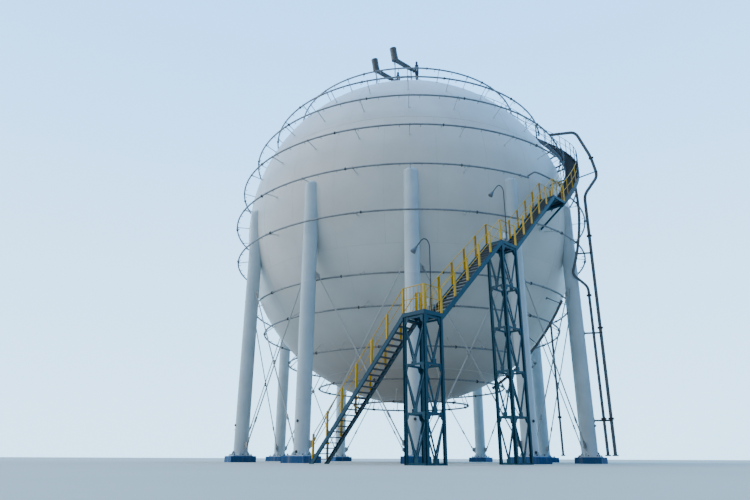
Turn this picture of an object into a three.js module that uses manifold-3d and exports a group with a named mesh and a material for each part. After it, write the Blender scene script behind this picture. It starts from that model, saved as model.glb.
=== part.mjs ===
// Spherical gas tank on twelve legs, with water spray rings, stairs and a crown platform.
// Millimetres, +Z up. Azimuths are in degrees from -Y towards +X, around the tank's upright axis.
import * as THREE from "three";
import { mergeVertices } from "three/addons/utils/BufferGeometryUtils.js";
import Module from "manifold-3d";

const wasm = await Module();
wasm.setup();

// Shell
const SHELL_RADIUS = 12000;
const SHELL_WALL = 45;
const CENTRE_HEIGHT = 15900;
const SHELL_SEGMENTS = 24;
const BAND_STEP = 10;
const COURSE_LATITUDES = [-90, -60, -20, 20, 60, 90];
const COURSE_NAMES = ["bottom_cap", "lower_course", "middle_course", "upper_course", "top_cap"];
const GAP = 0.3;

// Legs
const LEG_COUNT = 12;
const LEG_CIRCLE = 11860;
const LEG_RADIUS = 425;
const LEG_SIDES = 12;
const LEG_TOP = CENTRE_HEIGHT - 200;
const LEG_CAP_RISE = 260;
const PLINTH_WIDTH = 1500;
const PLINTH_HEIGHT = 350;
const BASE_PLATE_WIDTH = 1150;
const BASE_PLATE_THICKNESS = 50;

// Bracing between the legs, in groups of bays whose rods share saddles
const BRACE_LOW = 900;
const BRACE_HIGH = 10200;
const BRACE_ROD = 90;
const BRACE_GROUPS = 4;
const GUSSET_REACH = 420;
const GUSSET_HEIGHT = 520;
const GUSSET_THICKNESS = 100;
const SADDLE_HEIGHT = 180;
const SADDLE_THICKNESS = 60;

// Spray rings: latitude in degrees, distance off the shell, count of stand-offs
const RING_OFFSET = 845;
const INNER_RING_OFFSET = 650;
const RING_LATITUDES = [48.9, 36.4, 24.6, 12.5, 0.3, -11.8, -27.5, -35.9, -47.8, -59.9, -72];
const INNER_RING_INDEX = 6;
const RING_TUBE = 60;
const RING_SEGMENTS = 24;
const STANDOFF_WIDTH = 60;
const STANDOFF_COUNT = 6;

// Spray pipes
const PIPE_SIDES = 6;
const HEADER_RADIUS = 85;
const RISER_RADIUS = 100;
const DRAIN_RADIUS = 45;
const FLANGE_RADIUS = 175;
const FLANGE_THICKNESS = 70;
const INLET_HEIGHT = 420;
const RISER_BRACKETS = [2400, 7600, 12800];
const HEADER_AZIMUTH = 57;
const RISER_STAY_STATION = 12;

// Straight stair: it runs on a line that touches the tank at the tangent azimuth
const STAIR_HEADING = 47.33;
const STAIR_CIRCLE = 13010;
const STAIR_WIDTH = 950;
const RISER = 227.7;
const FLIGHT_RISERS = [26, 20, 19];
const FLIGHT_RUNS = [5780, 4860, 4570];
const LANDING_LENGTHS = [1150, 1330, 1290];
const LANDING_1_DEPTH = 1200;
const LAST_LANDING_END = 990;
const STRINGER_HEIGHT = 200;
const STRINGER_THICKNESS = 60;
const TREAD_THICKNESS = 40;
const TREAD_GOING = 215;
const LANDING_THICKNESS = 160;

// Stair towers and hand rails
const TOWER_LEG = 120;
const TOWER_BAR = 80;
const RAIL_HEIGHT = 1100;
const RAIL_BAR = 50;
const POST_BAR = 75;
const RAIL_INSET = 38;

// Crown stair: it winds up over the shell, then climbs straight to the crown
const CROWN_STAIR_START = 43;
const CROWN_STAIR_SLOPE = 45.6;
const CROWN_STAIR_CLEARANCE = 1000;
const CROWN_STAIR_TOP_CLEARANCE = 600;
const CROWN_STAIR_WIDTH = 900;
const CROWN_STRINGER_BOTTOM = -340;
const CROWN_STRINGER_TOP = 30;
const CROWN_BRACKET_DROP = 200;
const CROWN_RAIL_INSET = 30;
const WALKWAY_HEADROOM = 2050;
const WALKWAY_UNDERSIDE = 420;
const CROWN_BRACKET_SPACING = 9;

// Crown platform and the fittings on it
const CROWN_FLOOR = CENTRE_HEIGHT + SHELL_RADIUS + 350;
const CROWN_PLATFORM_RADIUS = 2250;
const CROWN_PLATFORM_SIDES = 12;
const CROWN_POSTS = 6;
const VENT_PIPE_LEVEL = CENTRE_HEIGHT + SHELL_RADIUS + 2500;
const VENT_TOP_LEVEL = CENTRE_HEIGHT + SHELL_RADIUS + 3550;
const VENT_REACH = new THREE.Vector3(-1770, -1400, 0);
const VENT_VALVES = [new THREE.Vector3(870, -1600, 0), new THREE.Vector3(-670, -250, 0)];
const VENT_FOOT_RADIUS = 104;
const VENT_VALVE_RADIUS = 169;
const VENT_PIPE_RADIUS = 165;
const VENT_STACK_RADIUS = 215;
const VENT_HOLE_RADIUS = 182;
const MANWAY_RADIUS = 400;
const MANWAY_RISE = 750;
const OUTLET_RADIUS = 250;
const OUTLET_DROP = 900;

// Lamps on the stair landings
const LAMP_HEIGHT = 3150;
const LAMP_RADIUS = 30;
const LAMP_PLACES = [490, 560];

const UP = new THREE.Vector3(0, 0, 1);
const white = 0xc9d3dc;
const blue = 0x17557a;
const yellow = 0xc3a01e;
const grey = 0x7d858a;
const dark = 0x454b4e;

const tank = new THREE.Group();

// Solids and meshes
function solidOf(geometry) {
  const bare = geometry.index ? geometry.toNonIndexed() : geometry.clone();
  bare.deleteAttribute("normal");
  bare.deleteAttribute("uv");
  const merged = mergeVertices(bare, 1e-3);
  const corners = merged.index.array;
  const faces = [];
  for (let i = 0; i < corners.length; i += 3) {
    const [a, b, c] = corners.slice(i, i + 3);
    if (a !== b && b !== c && c !== a) faces.push(a, b, c);
  }
  return new wasm.Manifold(
    new wasm.Mesh({
      numProp: 3,
      vertProperties: new Float32Array(merged.attributes.position.array),
      triVerts: new Uint32Array(faces),
    }),
  );
}

function geometryOf(solid) {
  const mesh = solid.getMesh();
  const geometry = new THREE.BufferGeometry();
  geometry.setAttribute("position", new THREE.BufferAttribute(mesh.vertProperties, 3));
  geometry.setIndex(new THREE.BufferAttribute(mesh.triVerts, 1));
  geometry.computeVertexNormals();
  return geometry;
}

function joined(solids) {
  return wasm.Manifold.union(solids);
}

function largestBody(solid) {
  return solid.decompose().reduce((best, body) => (body.volume() > best.volume() ? body : best));
}

function addMesh(name, solid, color, metalness = 0.3, roughness = 0.6) {
  const material = new THREE.MeshStandardMaterial({ color, metalness, roughness });
  const mesh = new THREE.Mesh(geometryOf(solid), material);
  mesh.name = name;
  tank.add(mesh);
}

function radians(degrees) {
  return THREE.MathUtils.degToRad(degrees);
}

function polar(azimuth, radius, height) {
  const angle = radians(azimuth);
  return new THREE.Vector3(radius * Math.sin(angle), -radius * Math.cos(angle), height);
}

// A point off the shell, by azimuth and latitude
function overShell(azimuth, latitude, distance) {
  const reach = SHELL_RADIUS + distance;
  const height = CENTRE_HEIGHT + reach * Math.sin(radians(latitude));
  return polar(azimuth, reach * Math.cos(radians(latitude)), height);
}

// A closed solid through a row of outlines with the same count of points
function loft(outlines) {
  const count = outlines[0].length;
  const points = outlines.flat();
  const faces = [];
  for (let row = 0; row + 1 < outlines.length; row++) {
    for (let i = 0; i < count; i++) {
      const a = row * count + i;
      const b = row * count + ((i + 1) % count);
      faces.push(a, b, a + count, b, b + count, a + count);
    }
  }
  const last = (outlines.length - 1) * count;
  for (let i = 1; i + 1 < count; i++) {
    faces.push(0, i + 1, i);
    faces.push(last, last + i, last + i + 1);
  }
  const geometry = new THREE.BufferGeometry().setFromPoints(points);
  geometry.setIndex(faces);
  const solid = solidOf(geometry);
  if (solid.volume() > 0) return solid;
  geometry.setIndex(faces.reverse());
  return solidOf(geometry);
}

// A run of straight pipe or bar with mitred corners
function sweep(points, outline) {
  const outlines = [];
  let along = points[1].clone().sub(points[0]).normalize();
  let section = outline(along).map((offset) => offset.add(points[0]));
  outlines.push(section);
  for (let i = 1; i < points.length; i++) {
    const next = i + 1 < points.length ? points[i + 1].clone().sub(points[i]).normalize() : along;
    const normal = along.clone().add(next).normalize();
    section = section.map((corner) => {
      const distance = points[i].clone().sub(corner).dot(normal) / along.dot(normal);
      return corner.clone().addScaledVector(along, distance);
    });
    outlines.push(section);
    along = next;
  }
  return loft(outlines);
}

function crossAxes(along) {
  const hint = Math.abs(along.z) > 0.9 ? new THREE.Vector3(1, 0, 0) : UP;
  const side = new THREE.Vector3().crossVectors(along, hint).normalize();
  return [side, new THREE.Vector3().crossVectors(along, side)];
}

function pipe(points, radius, sides = PIPE_SIDES) {
  return sweep(points, (along) => {
    const [side, rise] = crossAxes(along);
    return Array.from({ length: sides }, (_, i) => {
      const angle = (2 * Math.PI * (i + 0.5)) / sides;
      const offset = side.clone().multiplyScalar(radius * Math.cos(angle));
      return offset.addScaledVector(rise, radius * Math.sin(angle));
    });
  });
}

function bar(points, width, height = width) {
  return sweep(points, (along) => {
    const [side, rise] = crossAxes(along);
    const corners = [[-1, -1], [1, -1], [1, 1], [-1, 1]];
    return corners.map(([s, r]) => {
      const offset = side.clone().multiplyScalar((s * width) / 2);
      return offset.addScaledVector(rise, (r * height) / 2);
    });
  });
}

function block(centre, size, azimuth = 0) {
  const box = new THREE.BoxGeometry(size.x, size.y, size.z);
  box.rotateZ(radians(azimuth));
  box.translate(centre.x, centre.y, centre.z);
  return solidOf(box);
}

function drum(centre, radius, height, sides, topRadius = radius) {
  const cylinder = new THREE.CylinderGeometry(topRadius, radius, height, sides);
  cylinder.rotateX(Math.PI / 2);
  cylinder.translate(centre.x, centre.y, centre.z);
  return solidOf(cylinder);
}

function revolved(profile, segments = SHELL_SEGMENTS) {
  const lathe = new THREE.LatheGeometry(profile, segments);
  lathe.rotateX(Math.PI / 2);
  lathe.translate(0, 0, CENTRE_HEIGHT);
  return solidOf(lathe);
}

// Shell courses, each a zone of the sphere with its real wall
function arc(radius, from, to) {
  const steps = Math.round(Math.abs(to - from) / BAND_STEP);
  return Array.from({ length: steps + 1 }, (_, i) => {
    const latitude = radians(from + ((to - from) * i) / steps);
    return new THREE.Vector2(Math.max(radius * Math.cos(latitude), 0), radius * Math.sin(latitude));
  });
}

function onAxis(points) {
  return points.map((point) => (point.x < 1e-3 ? new THREE.Vector2(0, point.y) : point));
}

function shellCourse(from, to) {
  const joint = THREE.MathUtils.radToDeg(GAP / 2 / SHELL_RADIUS);
  const low = from === -90 ? from : from + joint;
  const high = to === 90 ? to : to - joint;
  const outer = arc(SHELL_RADIUS, low, high);
  const inner = arc(SHELL_RADIUS - SHELL_WALL, high, low);
  return revolved(onAxis([...outer, ...inner, outer[0].clone()]));
}

const shellSpace = revolved(onAxis(arc(SHELL_RADIUS + GAP * 1.1, -90, 90)));

function uprightPipe(radius, from, to) {
  return drum(new THREE.Vector3(0, 0, (from + to) / 2), radius, to - from, 12);
}

const outletBottom = CENTRE_HEIGHT - SHELL_RADIUS - OUTLET_DROP;
const crownTop = CENTRE_HEIGHT + SHELL_RADIUS;

for (let i = 0; i < COURSE_NAMES.length; i++) {
  const course = shellCourse(COURSE_LATITUDES[i], COURSE_LATITUDES[i + 1]);
  addMesh("shell_" + COURSE_NAMES[i], course, white, 0.1, 0.45);
}

// Legs: a tube with a sloping cap under the widest course, a base plate and a low plinth
function legAzimuth(index) {
  return (360 / LEG_COUNT) * index;
}

function legSpace(index) {
  const centre = polar(legAzimuth(index), LEG_CIRCLE, LEG_TOP / 2);
  const clearRadius = LEG_RADIUS + (GAP * 1.1) / Math.cos(Math.PI / LEG_SIDES);
  return drum(centre, clearRadius, LEG_TOP, LEG_SIDES);
}

function leg(index) {
  const azimuth = legAzimuth(index);
  const tubeBottom = PLINTH_HEIGHT + BASE_PLATE_THICKNESS / 2;
  const tubeCentre = polar(azimuth, LEG_CIRCLE, (tubeBottom + LEG_TOP) / 2);
  const capCentre = polar(azimuth, LEG_CIRCLE, LEG_TOP + LEG_CAP_RISE / 2 - 1);
  const plinthCentre = polar(azimuth, LEG_CIRCLE, PLINTH_HEIGHT / 2);
  const plateCentre = polar(azimuth, LEG_CIRCLE, PLINTH_HEIGHT + BASE_PLATE_THICKNESS / 2 - 1);
  const plinthSize = new THREE.Vector3(PLINTH_WIDTH, PLINTH_WIDTH, PLINTH_HEIGHT);
  const plateSize = new THREE.Vector3(BASE_PLATE_WIDTH, BASE_PLATE_WIDTH, BASE_PLATE_THICKNESS);
  const whole = joined([
    drum(tubeCentre, LEG_RADIUS, LEG_TOP - tubeBottom, LEG_SIDES),
    drum(capCentre, LEG_RADIUS, LEG_CAP_RISE, LEG_SIDES, LEG_RADIUS * 0.35),
    block(plinthCentre, plinthSize, azimuth),
    block(plateCentre, plateSize, azimuth),
  ]);
  return largestBody(whole.subtract(shellSpace));
}

for (let i = 0; i < LEG_COUNT; i++) {
  addMesh("leg_" + String(i + 1).padStart(2, "0"), leg(i), white, 0.1, 0.5);
}

// Bracing: crossed rods in every bay, with gusset plates at the legs
function gusset(from, towards, height) {
  const reach = from.clone().lerp(towards, (LEG_RADIUS + GUSSET_REACH) / from.distanceTo(towards));
  const start = new THREE.Vector3(from.x, from.y, height);
  const end = new THREE.Vector3(reach.x, reach.y, height);
  return bar([start, end], GUSSET_THICKNESS, GUSSET_HEIGHT);
}

function saddle(index) {
  const azimuth = legAzimuth(index);
  const centre = polar(azimuth, LEG_CIRCLE, BRACE_LOW);
  const band = drum(centre, LEG_RADIUS + SADDLE_THICKNESS, SADDLE_HEIGHT, LEG_SIDES);
  const outerHalf = polar(azimuth, LEG_CIRCLE + 2 * LEG_RADIUS, BRACE_LOW);
  const cut = new THREE.Vector3(4 * LEG_RADIUS, 4 * LEG_RADIUS, 2 * SADDLE_HEIGHT);
  return band.subtract(block(outerHalf, cut, azimuth));
}

function braceBay(index) {
  const here = polar(legAzimuth(index), LEG_CIRCLE, 0);
  const there = polar(legAzimuth(index + 1), LEG_CIRCLE, 0);
  const face = (LEG_RADIUS + BRACE_ROD) / here.distanceTo(there);
  const nearHere = here.clone().lerp(there, face);
  const nearThere = there.clone().lerp(here, face);
  return [
    bar([nearHere.clone().setZ(BRACE_LOW), nearThere.clone().setZ(BRACE_HIGH)], BRACE_ROD),
    bar([nearHere.clone().setZ(BRACE_HIGH), nearThere.clone().setZ(BRACE_LOW)], BRACE_ROD),
    gusset(here, there, BRACE_LOW),
    gusset(here, there, BRACE_HIGH),
    gusset(there, here, BRACE_LOW),
    gusset(there, here, BRACE_HIGH),
  ];
}

const baysPerGroup = LEG_COUNT / BRACE_GROUPS;
for (let group = 0; group < BRACE_GROUPS; group++) {
  const first = group * baysPerGroup;
  const solids = [];
  const spaces = [];
  for (let bay = first; bay < first + baysPerGroup; bay++) {
    solids.push(...braceBay(bay));
    spaces.push(legSpace(bay));
    if (bay > first) solids.push(saddle(bay));
  }
  spaces.push(legSpace(first + baysPerGroup));
  const rods = joined(solids).subtract(joined(spaces));
  addMesh("brace_rods_" + (group + 1), largestBody(rods), grey, 0.5, 0.5);
}

// Straight stair, in a frame of its own: along runs up the flights, across points at the tank
const heading = radians(STAIR_HEADING);
const alongStair = new THREE.Vector3(Math.cos(heading), Math.sin(heading), 0);
const acrossStair = new THREE.Vector3(-Math.sin(heading), Math.cos(heading), 0);
const tangentPoint = polar(STAIR_HEADING, STAIR_CIRCLE, 0);

function stairPoint(along, across, height) {
  const point = tangentPoint.clone().addScaledVector(alongStair, along);
  point.addScaledVector(acrossStair, across);
  point.z = height;
  return point;
}

const landingLevels = [];
let climbed = 0;
for (const risers of FLIGHT_RISERS) {
  climbed += risers * RISER;
  landingLevels.push(climbed);
}

const halfWidth = STAIR_WIDTH / 2;
const landing3 = { from: -LAST_LANDING_END - LANDING_LENGTHS[2], to: -LAST_LANDING_END };
const landing2 = { to: landing3.from - FLIGHT_RUNS[2] };
landing2.from = landing2.to - LANDING_LENGTHS[1];
const landing1 = { to: landing2.from - FLIGHT_RUNS[1] };
landing1.from = landing1.to - LANDING_LENGTHS[0];
const landing1Far = -halfWidth + LANDING_1_DEPTH;
const flight1Foot = landing1Far + FLIGHT_RUNS[0];

// A flight between two levels: two stringers and open treads
function flight(foot, head, side, risers) {
  const run = head.clone().sub(foot);
  const horizontal = run.clone().setZ(0).normalize();
  const inset = halfWidth - STRINGER_THICKNESS / 2;
  const slope = Math.cos(Math.atan2(run.z, horizontal.dot(run)));
  const sink = new THREE.Vector3(0, 0, -STRINGER_HEIGHT / 2 / slope);
  const solids = [];
  for (const sign of [-1, 1]) {
    const start = foot.clone().addScaledVector(side, sign * inset).add(sink);
    const end = head.clone().addScaledVector(side, sign * inset).add(sink);
    solids.push(bar([start, end], STRINGER_THICKNESS, STRINGER_HEIGHT));
  }
  const treadSpan = 2 * halfWidth - 1.8 * STRINGER_THICKNESS;
  for (let i = 1; i < risers; i++) {
    const centre = foot.clone().lerp(head, (i + 0.56) / risers);
    centre.z = foot.z + (run.z * i) / risers - TREAD_THICKNESS / 2;
    const left = centre.clone().addScaledVector(side, -treadSpan / 2);
    const right = centre.clone().addScaledVector(side, treadSpan / 2);
    solids.push(bar([left, right], TREAD_GOING, TREAD_THICKNESS));
  }
  const whole = joined(solids);
  const middle = foot.clone().add(head).multiplyScalar(0.5);
  const length = horizontal.dot(run);
  const size = new THREE.Vector3(length - 2 * GAP, 2 * STAIR_WIDTH, 3 * head.z);
  const angle = THREE.MathUtils.radToDeg(Math.atan2(horizontal.y, horizontal.x));
  const band = block(new THREE.Vector3(middle.x, middle.y, size.z / 2), size, angle);
  return whole.intersect(band);
}

const flight1Middle = landing1.from + halfWidth;
const flightEnds = [
  [stairPoint(flight1Middle, flight1Foot, 0), stairPoint(flight1Middle, landing1Far, landingLevels[0])],
  [stairPoint(landing1.to, 0, landingLevels[0]), stairPoint(landing2.from, 0, landingLevels[1])],
  [stairPoint(landing2.to, 0, landingLevels[1]), stairPoint(landing3.from, 0, landingLevels[2])],
];
const flightSides = [alongStair, acrossStair, acrossStair];
flightEnds.forEach(([foot, head], i) => {
  addMesh("flight_" + (i + 1), flight(foot, head, flightSides[i], FLIGHT_RISERS[i]), blue);
});

// Landings: a framed floor plate
function landingFloor(from, to, near, far, level) {
  const centre = stairPoint((from + to) / 2, (near + far) / 2, level - LANDING_THICKNESS / 2);
  const size = new THREE.Vector3(to - from, far - near, LANDING_THICKNESS);
  return block(centre, size, STAIR_HEADING);
}

const landing1Floor = landingFloor(landing1.from, landing1.to, -halfWidth, landing1Far, landingLevels[0]);
addMesh("landing_1", landing1Floor, blue);
addMesh("landing_2", landingFloor(landing2.from, landing2.to, -halfWidth, halfWidth, landingLevels[1]), blue);

// The last landing rests on two brackets from the shell
function bracket(along, level) {
  const outer = stairPoint(along, -halfWidth + 40, level - LANDING_THICKNESS - 60);
  const towards = new THREE.Vector3(-outer.x, -outer.y, 0).normalize();
  const wall = outer.clone().addScaledVector(towards, 2200);
  const foot = outer.clone().addScaledVector(towards, 2100);
  foot.z -= 1350;
  return [bar([outer, wall], 120), bar([outer, foot], 90)];
}

const landing3Solids = [
  landingFloor(landing3.from, landing3.to, -halfWidth, halfWidth, landingLevels[2]),
  ...bracket(landing3.from + 150, landingLevels[2]),
  ...bracket(landing3.to - 150, landingLevels[2]),
];
addMesh("landing_3", largestBody(joined(landing3Solids).subtract(shellSpace)), blue);

// Stair towers: legs, level bars and V braces on every face
function tower(from, to, near, far, top, bays) {
  const inset = TOWER_LEG / 2;
  const corners = [
    [from + inset, near + inset],
    [to - inset, near + inset],
    [to - inset, far - inset],
    [from + inset, far - inset],
  ];
  const at = (corner, height) => stairPoint(corner[0], corner[1], height);
  const legSize = new THREE.Vector3(TOWER_LEG, TOWER_LEG, top);
  const solids = corners.map((corner) => block(at(corner, top / 2), legSize, STAIR_HEADING));
  const bayHeight = (top - TOWER_BAR) / bays;
  const braceDrop = 2 * TOWER_BAR;
  for (let side = 0; side < 4; side++) {
    const a = corners[side];
    const b = corners[(side + 1) % 4];
    const middle = [(a[0] + b[0]) / 2, (a[1] + b[1]) / 2];
    for (let bay = 0; bay < bays; bay++) {
      const low = Math.max(bay * bayHeight, TOWER_BAR / 2);
      const high = (bay + 1) * bayHeight;
      solids.push(bar([at(a, high), at(b, high)], TOWER_BAR));
      if (bay === 0) solids.push(bar([at(a, low), at(b, low)], TOWER_BAR));
      const brace = [at(a, high - braceDrop), at(middle, low + 2.2 * TOWER_BAR), at(b, high - braceDrop)];
      solids.push(bar(brace, TOWER_BAR * 0.7));
    }
  }
  return joined(solids);
}

const towerTops = landingLevels.map((level) => level - LANDING_THICKNESS - GAP);
addMesh("stair_tower_1", tower(landing1.from, landing1.to, -halfWidth, landing1Far, towerTops[0], 3), blue);
addMesh("stair_tower_2", tower(landing2.from, landing2.to, -halfWidth, halfWidth, towerTops[1], 5), blue);

// Hand rails: a top rail, a knee rail and posts, along a row of floor points
function railing(floor, postPoints, post = RAIL_BAR * 0.9) {
  const lifted = (height) => floor.map((point) => point.clone().setZ(point.z + height));
  const solids = [bar(lifted(RAIL_HEIGHT), RAIL_BAR), bar(lifted(RAIL_HEIGHT * 0.5), RAIL_BAR * 0.8)];
  for (const point of postPoints) {
    const foot = point.clone().setZ(point.z + GAP);
    solids.push(bar([foot, point.clone().setZ(point.z + RAIL_HEIGHT)], post));
  }
  return joined(solids);
}

function between(from, to, count) {
  return Array.from({ length: count }, (_, i) => from.clone().lerp(to, (i + 1) / (count + 1)));
}

// A lamp on a tall pole with a bent neck, clamped to the rail post
function lamp(foot, lean) {
  const top = foot.z + LAMP_HEIGHT;
  const up = (height) => new THREE.Vector3(foot.x, foot.y, height);
  const reach = (distance, height) => up(height).addScaledVector(lean, distance);
  const bend = [reach(80, top - 80), reach(220, top), reach(340, top - 80), reach(580, top - 420)];
  const neck = [up(foot.z + GAP), up(top - 300), ...bend];
  const head = [reach(555, top - 385), reach(690, top - 580)];
  return joined([pipe(neck, LAMP_RADIUS, 5), pipe(head, LAMP_RADIUS * 3, 6)]);
}

const edge = halfWidth - RAIL_INSET;
const railStart = 200;
const pitchLift = (railStart * landingLevels[0]) / FLIGHT_RUNS[0];
const outerFloor = [
  stairPoint(landing1.from + RAIL_INSET, flight1Foot - railStart, pitchLift),
  stairPoint(landing1.from + RAIL_INSET, landing1Far, landingLevels[0]),
  stairPoint(landing1.from + RAIL_INSET, -edge, landingLevels[0]),
  stairPoint(landing1.to, -edge, landingLevels[0]),
  stairPoint(landing2.from, -edge, landingLevels[1]),
  stairPoint(landing2.to, -edge, landingLevels[1]),
  stairPoint(landing3.from, -edge, landingLevels[2]),
  stairPoint(landing3.to, -edge, landingLevels[2]),
];
const innerFloor = [
  stairPoint(flight1Middle + edge, flight1Foot - railStart, pitchLift),
  stairPoint(flight1Middle + edge, landing1Far, landingLevels[0]),
  stairPoint(landing1.to - RAIL_INSET, landing1Far - RAIL_INSET, landingLevels[0]),
  stairPoint(landing1.to - RAIL_INSET, edge, landingLevels[0]),
  stairPoint(landing2.from, edge, landingLevels[1]),
  stairPoint(landing2.to, edge, landingLevels[1]),
  stairPoint(landing3.from, edge, landingLevels[2]),
  stairPoint(landing3.to, edge, landingLevels[2]),
];

function flightPosts(floor, starts) {
  const posts = [...floor];
  for (const [start, count] of starts) posts.push(...between(floor[start], floor[start + 1], count));
  return posts;
}

// The slab under each flight's line of nosings, which the posts stand on
function flightSpace(foot, head, side) {
  const corners = [[-STAIR_WIDTH, -400], [STAIR_WIDTH, -400], [STAIR_WIDTH, GAP], [-STAIR_WIDTH, GAP]];
  const section = (point) => corners.map(([across, rise]) => {
    return point.clone().addScaledVector(side, across).setZ(point.z + rise);
  });
  return loft([section(foot), section(head)]);
}

const flightSpaces = joined(flightEnds.map(([foot, head], i) => flightSpace(foot, head, flightSides[i])));
const postCounts = [[0, 5], [3, 4], [5, 4]];
const outerRail = railing(outerFloor, flightPosts(outerFloor, postCounts), POST_BAR);
const innerRail = railing(innerFloor, flightPosts(innerFloor, postCounts), POST_BAR);
const lampLean = alongStair.clone().multiplyScalar(-0.8).addScaledVector(acrossStair, 0.6).normalize();
const lamp1 = lamp(stairPoint(landing1.from + LAMP_PLACES[0], -edge, landingLevels[0]), lampLean);
const lamp2 = lamp(stairPoint(landing2.from + LAMP_PLACES[1], -edge, landingLevels[1]), lampLean);
addMesh("handrail_outer", joined([outerRail, lamp1, lamp2]).subtract(flightSpaces), yellow);
addMesh("handrail_inner", innerRail.subtract(flightSpaces), yellow);

// Crown stair path: stations with a centre, the direction across the stair and the climb so far
function crownStations() {
  const stations = [];
  const reach = SHELL_RADIUS + CROWN_STAIR_CLEARANCE;
  let azimuth = CROWN_STAIR_START;
  let height = landingLevels[2] - CENTRE_HEIGHT;
  const slope = Math.tan(radians(CROWN_STAIR_SLOPE));
  const step = RISER / slope;
  const steepest = reach * Math.cos(radians(CROWN_STAIR_SLOPE));
  while (height < steepest) {
    const radius = Math.sqrt(reach * reach - height * height);
    const inward = (height / radius) * slope;
    const around = Math.sqrt(Math.max(1 - inward * inward, 0));
    const angle = radians(azimuth);
    const outward = new THREE.Vector3(Math.sin(angle), -Math.cos(angle), 0);
    const tangent = new THREE.Vector3(Math.cos(angle), Math.sin(angle), 0);
    const across = outward.multiplyScalar(around).addScaledVector(tangent, inward);
    const centre = polar(azimuth, radius, CENTRE_HEIGHT + height);
    stations.push({ centre, across: across.normalize() });
    azimuth += THREE.MathUtils.radToDeg((around * step) / radius);
    height += RISER;
  }
  const latitude = THREE.MathUtils.radToDeg(Math.asin(height / reach));
  const lastReach = (CROWN_PLATFORM_RADIUS + 60) / (SHELL_RADIUS + CROWN_STAIR_TOP_CLEARANCE);
  const endLatitude = THREE.MathUtils.radToDeg(Math.acos(lastReach));
  const count = Math.round((radians(endLatitude - latitude) * reach) / 430);
  const angle = radians(azimuth);
  const across = new THREE.Vector3(Math.cos(angle), Math.sin(angle), 0);
  for (let i = 0; i <= count; i++) {
    const share = i / count;
    const here = latitude + (endLatitude - latitude) * share;
    const clearance = THREE.MathUtils.lerp(CROWN_STAIR_CLEARANCE, CROWN_STAIR_TOP_CLEARANCE, share);
    stations.push({ centre: overShell(azimuth, here, clearance), across });
  }
  return stations;
}

const stations = crownStations();

function stationPoint(station, across, rise) {
  const point = station.centre.clone().addScaledVector(station.across, across);
  point.z += rise;
  return point;
}

// Every few stations are enough for the curved plates and rails
function thinned(step) {
  return stations.filter((_, i) => i % step === 0 || i === stations.length - 1);
}

function curvedPlate(inner, outer, bottom, top, step) {
  const outlines = thinned(step).map((station) => [
    stationPoint(station, inner, bottom),
    stationPoint(station, outer, bottom),
    stationPoint(station, outer, top),
    stationPoint(station, inner, top),
  ]);
  return loft(outlines);
}

const crownEdge = CROWN_STAIR_WIDTH / 2;
const walkway = curvedPlate(-crownEdge - 60, crownEdge + 60, -WALKWAY_UNDERSIDE, WALKWAY_HEADROOM, 4);
const landingWalkway = block(
  stairPoint((landing3.from + landing3.to) / 2 - 600, 0, landingLevels[2] + WALKWAY_HEADROOM / 2 - 200),
  new THREE.Vector3(LANDING_LENGTHS[2] + 1500, STAIR_WIDTH + 120, WALKWAY_HEADROOM + 400),
  STAIR_HEADING,
);
const walkways = joined([walkway, landingWalkway]);

function crownStair() {
  const solids = [
    curvedPlate(-crownEdge, -crownEdge + STRINGER_THICKNESS, CROWN_STRINGER_BOTTOM, CROWN_STRINGER_TOP, 4),
    curvedPlate(crownEdge - STRINGER_THICKNESS, crownEdge, CROWN_STRINGER_BOTTOM, CROWN_STRINGER_TOP, 4),
  ];
  const treadEnd = crownEdge - STRINGER_THICKNESS / 2;
  for (let i = 1; i < stations.length - 1; i++) {
    const left = stationPoint(stations[i], -treadEnd, -150);
    const right = stationPoint(stations[i], treadEnd, -150);
    solids.push(bar([left, right], TREAD_GOING, TREAD_THICKNESS));
  }
  for (let i = 5; i < stations.length; i += CROWN_BRACKET_SPACING) {
    const outer = stationPoint(stations[i], crownEdge - 20, -CROWN_BRACKET_DROP);
    const centre = new THREE.Vector3(0, 0, CENTRE_HEIGHT);
    const wall = outer.clone().lerp(centre, 0.14);
    solids.push(bar([outer, wall], 100));
  }
  return largestBody(joined(solids).subtract(shellSpace));
}

const startPlane = block(
  stairPoint(landing3.from, 0, landingLevels[2]),
  new THREE.Vector3(2 * (landing3.to - landing3.from) + 2 * GAP, 3 * STAIR_WIDTH, 3000),
  STAIR_HEADING,
);
const crownDeckSpace = drum(
  new THREE.Vector3(0, 0, CROWN_FLOOR),
  CROWN_PLATFORM_RADIUS + GAP * 1.1,
  3000,
  CROWN_PLATFORM_SIDES,
);
addMesh("crown_stair", largestBody(crownStair().subtract(startPlane).subtract(crownDeckSpace)), dark);

function crownRail(across) {
  const path = thinned(4);
  const floor = path.map((station) => stationPoint(station, across, 0));
  const posts = path.filter((_, i) => i % 2 === 1).map((station) => stationPoint(station, across, 0));
  const last = floor.length - 1;
  const first = floor[0].clone().lerp(floor[1], 0.1);
  return railing(floor, [first, ...posts, floor[last].clone().lerp(floor[last - 1], 0.1)]);
}

const railSide = crownEdge - CROWN_RAIL_INSET;
const stringerSpaces = [-crownEdge, crownEdge - STRINGER_THICKNESS].map((inner) => {
  return curvedPlate(inner - 2, inner + STRINGER_THICKNESS + 2, -400, CROWN_STRINGER_TOP + 3 * GAP, 4);
});
const railSpaces = joined([startPlane, crownDeckSpace, ...stringerSpaces]);
addMesh("crown_rail_outer", largestBody(crownRail(railSide).subtract(railSpaces)), yellow);
addMesh("crown_rail_inner", largestBody(crownRail(-railSide).subtract(railSpaces)), yellow);

// Spray rings: one tube each, held off the shell by short stand-offs, open where the stair passes
function ringOffset(index) {
  return index === INNER_RING_INDEX ? INNER_RING_OFFSET : RING_OFFSET;
}

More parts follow.
